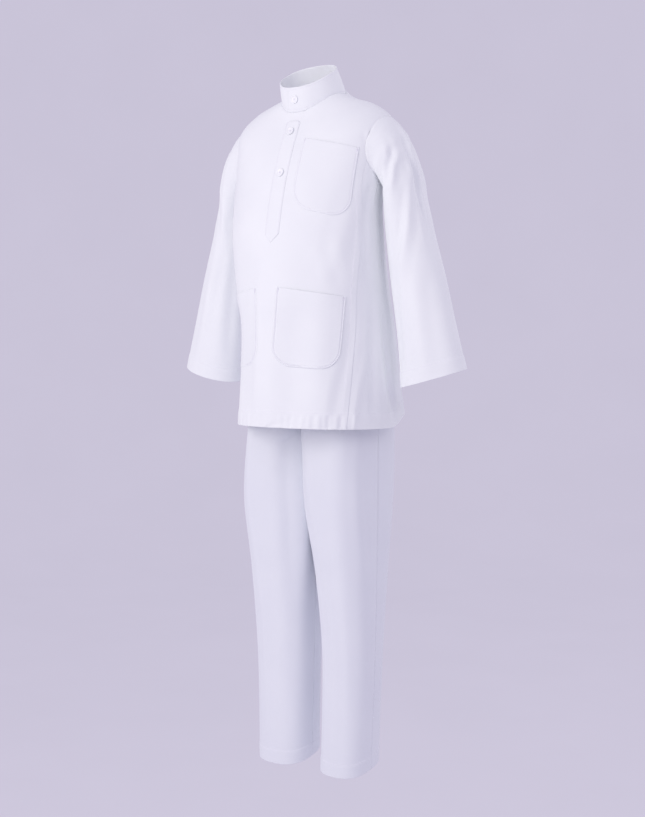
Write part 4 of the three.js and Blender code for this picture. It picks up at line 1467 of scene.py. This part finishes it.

# %% [markdown]
# ## What each piece rides on and stands for
# The set is one body, so every piece rides on it. A piece that replaces a imported node is shown
# instead of it, while the node stays for collisions, hidden. The size each sheet of cloth would
# have if it lay flat, without its turned edges, is kept in cuts.

# %% Sew the rows of stitches
TACK_PITCH, TACK_LENGTH = 0.9, 1.1
for place, lines, *size in (
    ("hem", hem_stitches), ("seam", seam_stitches), ("cuff", cuff_stitches),
    ("collar", collar_stitches), ("pocket", laid_stitches),
    ("tack", tack_lines, TACK_PITCH, TACK_LENGTH),
):
    stitch_rows(f"tunic_{place}_thread", lines, *size)
stitch_rows("trouser_hem_thread", leg_stitches)

def declare(piece, slot, *nodes):
    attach(piece, "root")
    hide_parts(*nodes)


def declare_cloth(piece, slot, node):
    declare(piece, slot, node)


declare_cloth(tunic_front, "tunic_cloth", "body_front")
declare_cloth(tunic_back, "tunic_cloth", "body_back")
for place, piece in side_panels.items():
    declare_cloth(piece, "tunic_cloth", place)
for hand, piece in sleeves.items():
    declare_cloth(piece, "tunic_cloth", f"sleeve_{hand}")
declare_cloth(collar, "tunic_cloth", "collar")
declare_cloth(placket, "tunic_cloth", "placket")
for place, piece in pockets.items():
    declare_cloth(piece, "tunic_cloth", f"pocket_{place}")
for number, piece in enumerate(buttons, 1):
    declare(piece, "button_plastic", f"button_{number}")
for place, piece in leg_panels.items():
    declare_cloth(piece, "trouser_cloth", place)
declare_cloth(waistband, "trouser_cloth", "waistband")

# %% [markdown]
# ## The studio
# The set hangs in a round light tent with a flat pale floor, whose wall and ceiling curve over, so
# no horizon shows from any angle and white cloth gets its lilac shade from every side. One large
# soft lamp in front, a little to the wearer's right and above the neck, gives the form its light.
# Three weaker ones fill in the side, the back and the legs, and a very small one lights the inside
# of the collar.

# %% Build the studio
FLOOR_Z = -1.62
TENT_RADIUS = 5.8
TENT_TOP = 4.0
TENT_CURVE = 1.8
TENT_STEPS = 20                     # points on each curve of its profile
TENT_SIDES = 96
TENT_HOLE = 0.02                    # radius of the small faces in the middle of floor and ceiling
WARM = "#FFFBF0"
COOL = "#F6F0FF"
# Name, azimuth (0 is in front of the garment, above 0 the wearer's left), height, distance, size,
# power in watts, colour, and the height it points at. Lengths are in metres.
LAMPS = (
    ("key", -15, 0.3, 2.3, 1.4, 20.5, WARM, -0.35),
    ("side", 64, 0.9, 2.4, 1.2, 5.5, WARM, -0.35),
    ("back", 140, 0.9, 2.6, 1.6, 12, WARM, -0.35),
    ("low", 0, -1.0, 1.5, 0.8, 1.3, WARM, -0.6),
    ("neck", 0, -0.06, 0.0, 0.06, 0.028, COOL, 0.1),
)


def light_tent():
    low, high = (np.linspace(start, start + math.pi / 2, TENT_STEPS) for start in (-math.pi / 2, 0))
    middle = TENT_RADIUS - TENT_CURVE
    out = lambda a: middle + TENT_CURVE * math.cos(a)
    profile = [(radius, FLOOR_Z) for radius in (TENT_HOLE, 1.0, 2.0, 3.0)]
    profile += [(out(a), FLOOR_Z + TENT_CURVE * (1 + math.sin(a))) for a in low]
    profile += [(out(a), TENT_TOP - TENT_CURVE * (1 - math.sin(a))) for a in high]
    profile += [(TENT_HOLE, TENT_TOP)]
    vertices, faces = spun(profile, TENT_SIDES)
    new_piece("light_tent", vertices, [face[::-1] for face in faces], tent_cloth, 1)


def soft_lamp(name, azimuth, height, distance, size, watts, colour, aim_height):
    data = bpy.data.lights.new(name, "AREA")
    data.shape = "SQUARE"
    data.size = size
    data.energy = watts
    data.color = linear(colour)[:3]
    lamp = bpy.data.objects.new(name, data)
    turn = math.radians(azimuth)
    lamp.location = (distance * math.sin(turn), -distance * math.cos(turn), height)
    aim = np.array([0, 0, aim_height]) - np.array(lamp.location)
    tilt = math.atan2(math.hypot(aim[0], aim[1]), -aim[2])
    lamp.rotation_euler = (tilt, 0, math.atan2(-aim[0], aim[1]))
    lamp.visible_camera = False
    bpy.context.collection.objects.link(lamp)


light_tent()
for lamp in LAMPS:
    soft_lamp(*lamp)
bpy.context.scene.view_settings.view_transform = "Standard"
print("studio ready,", len(LAMPS), "lamps")
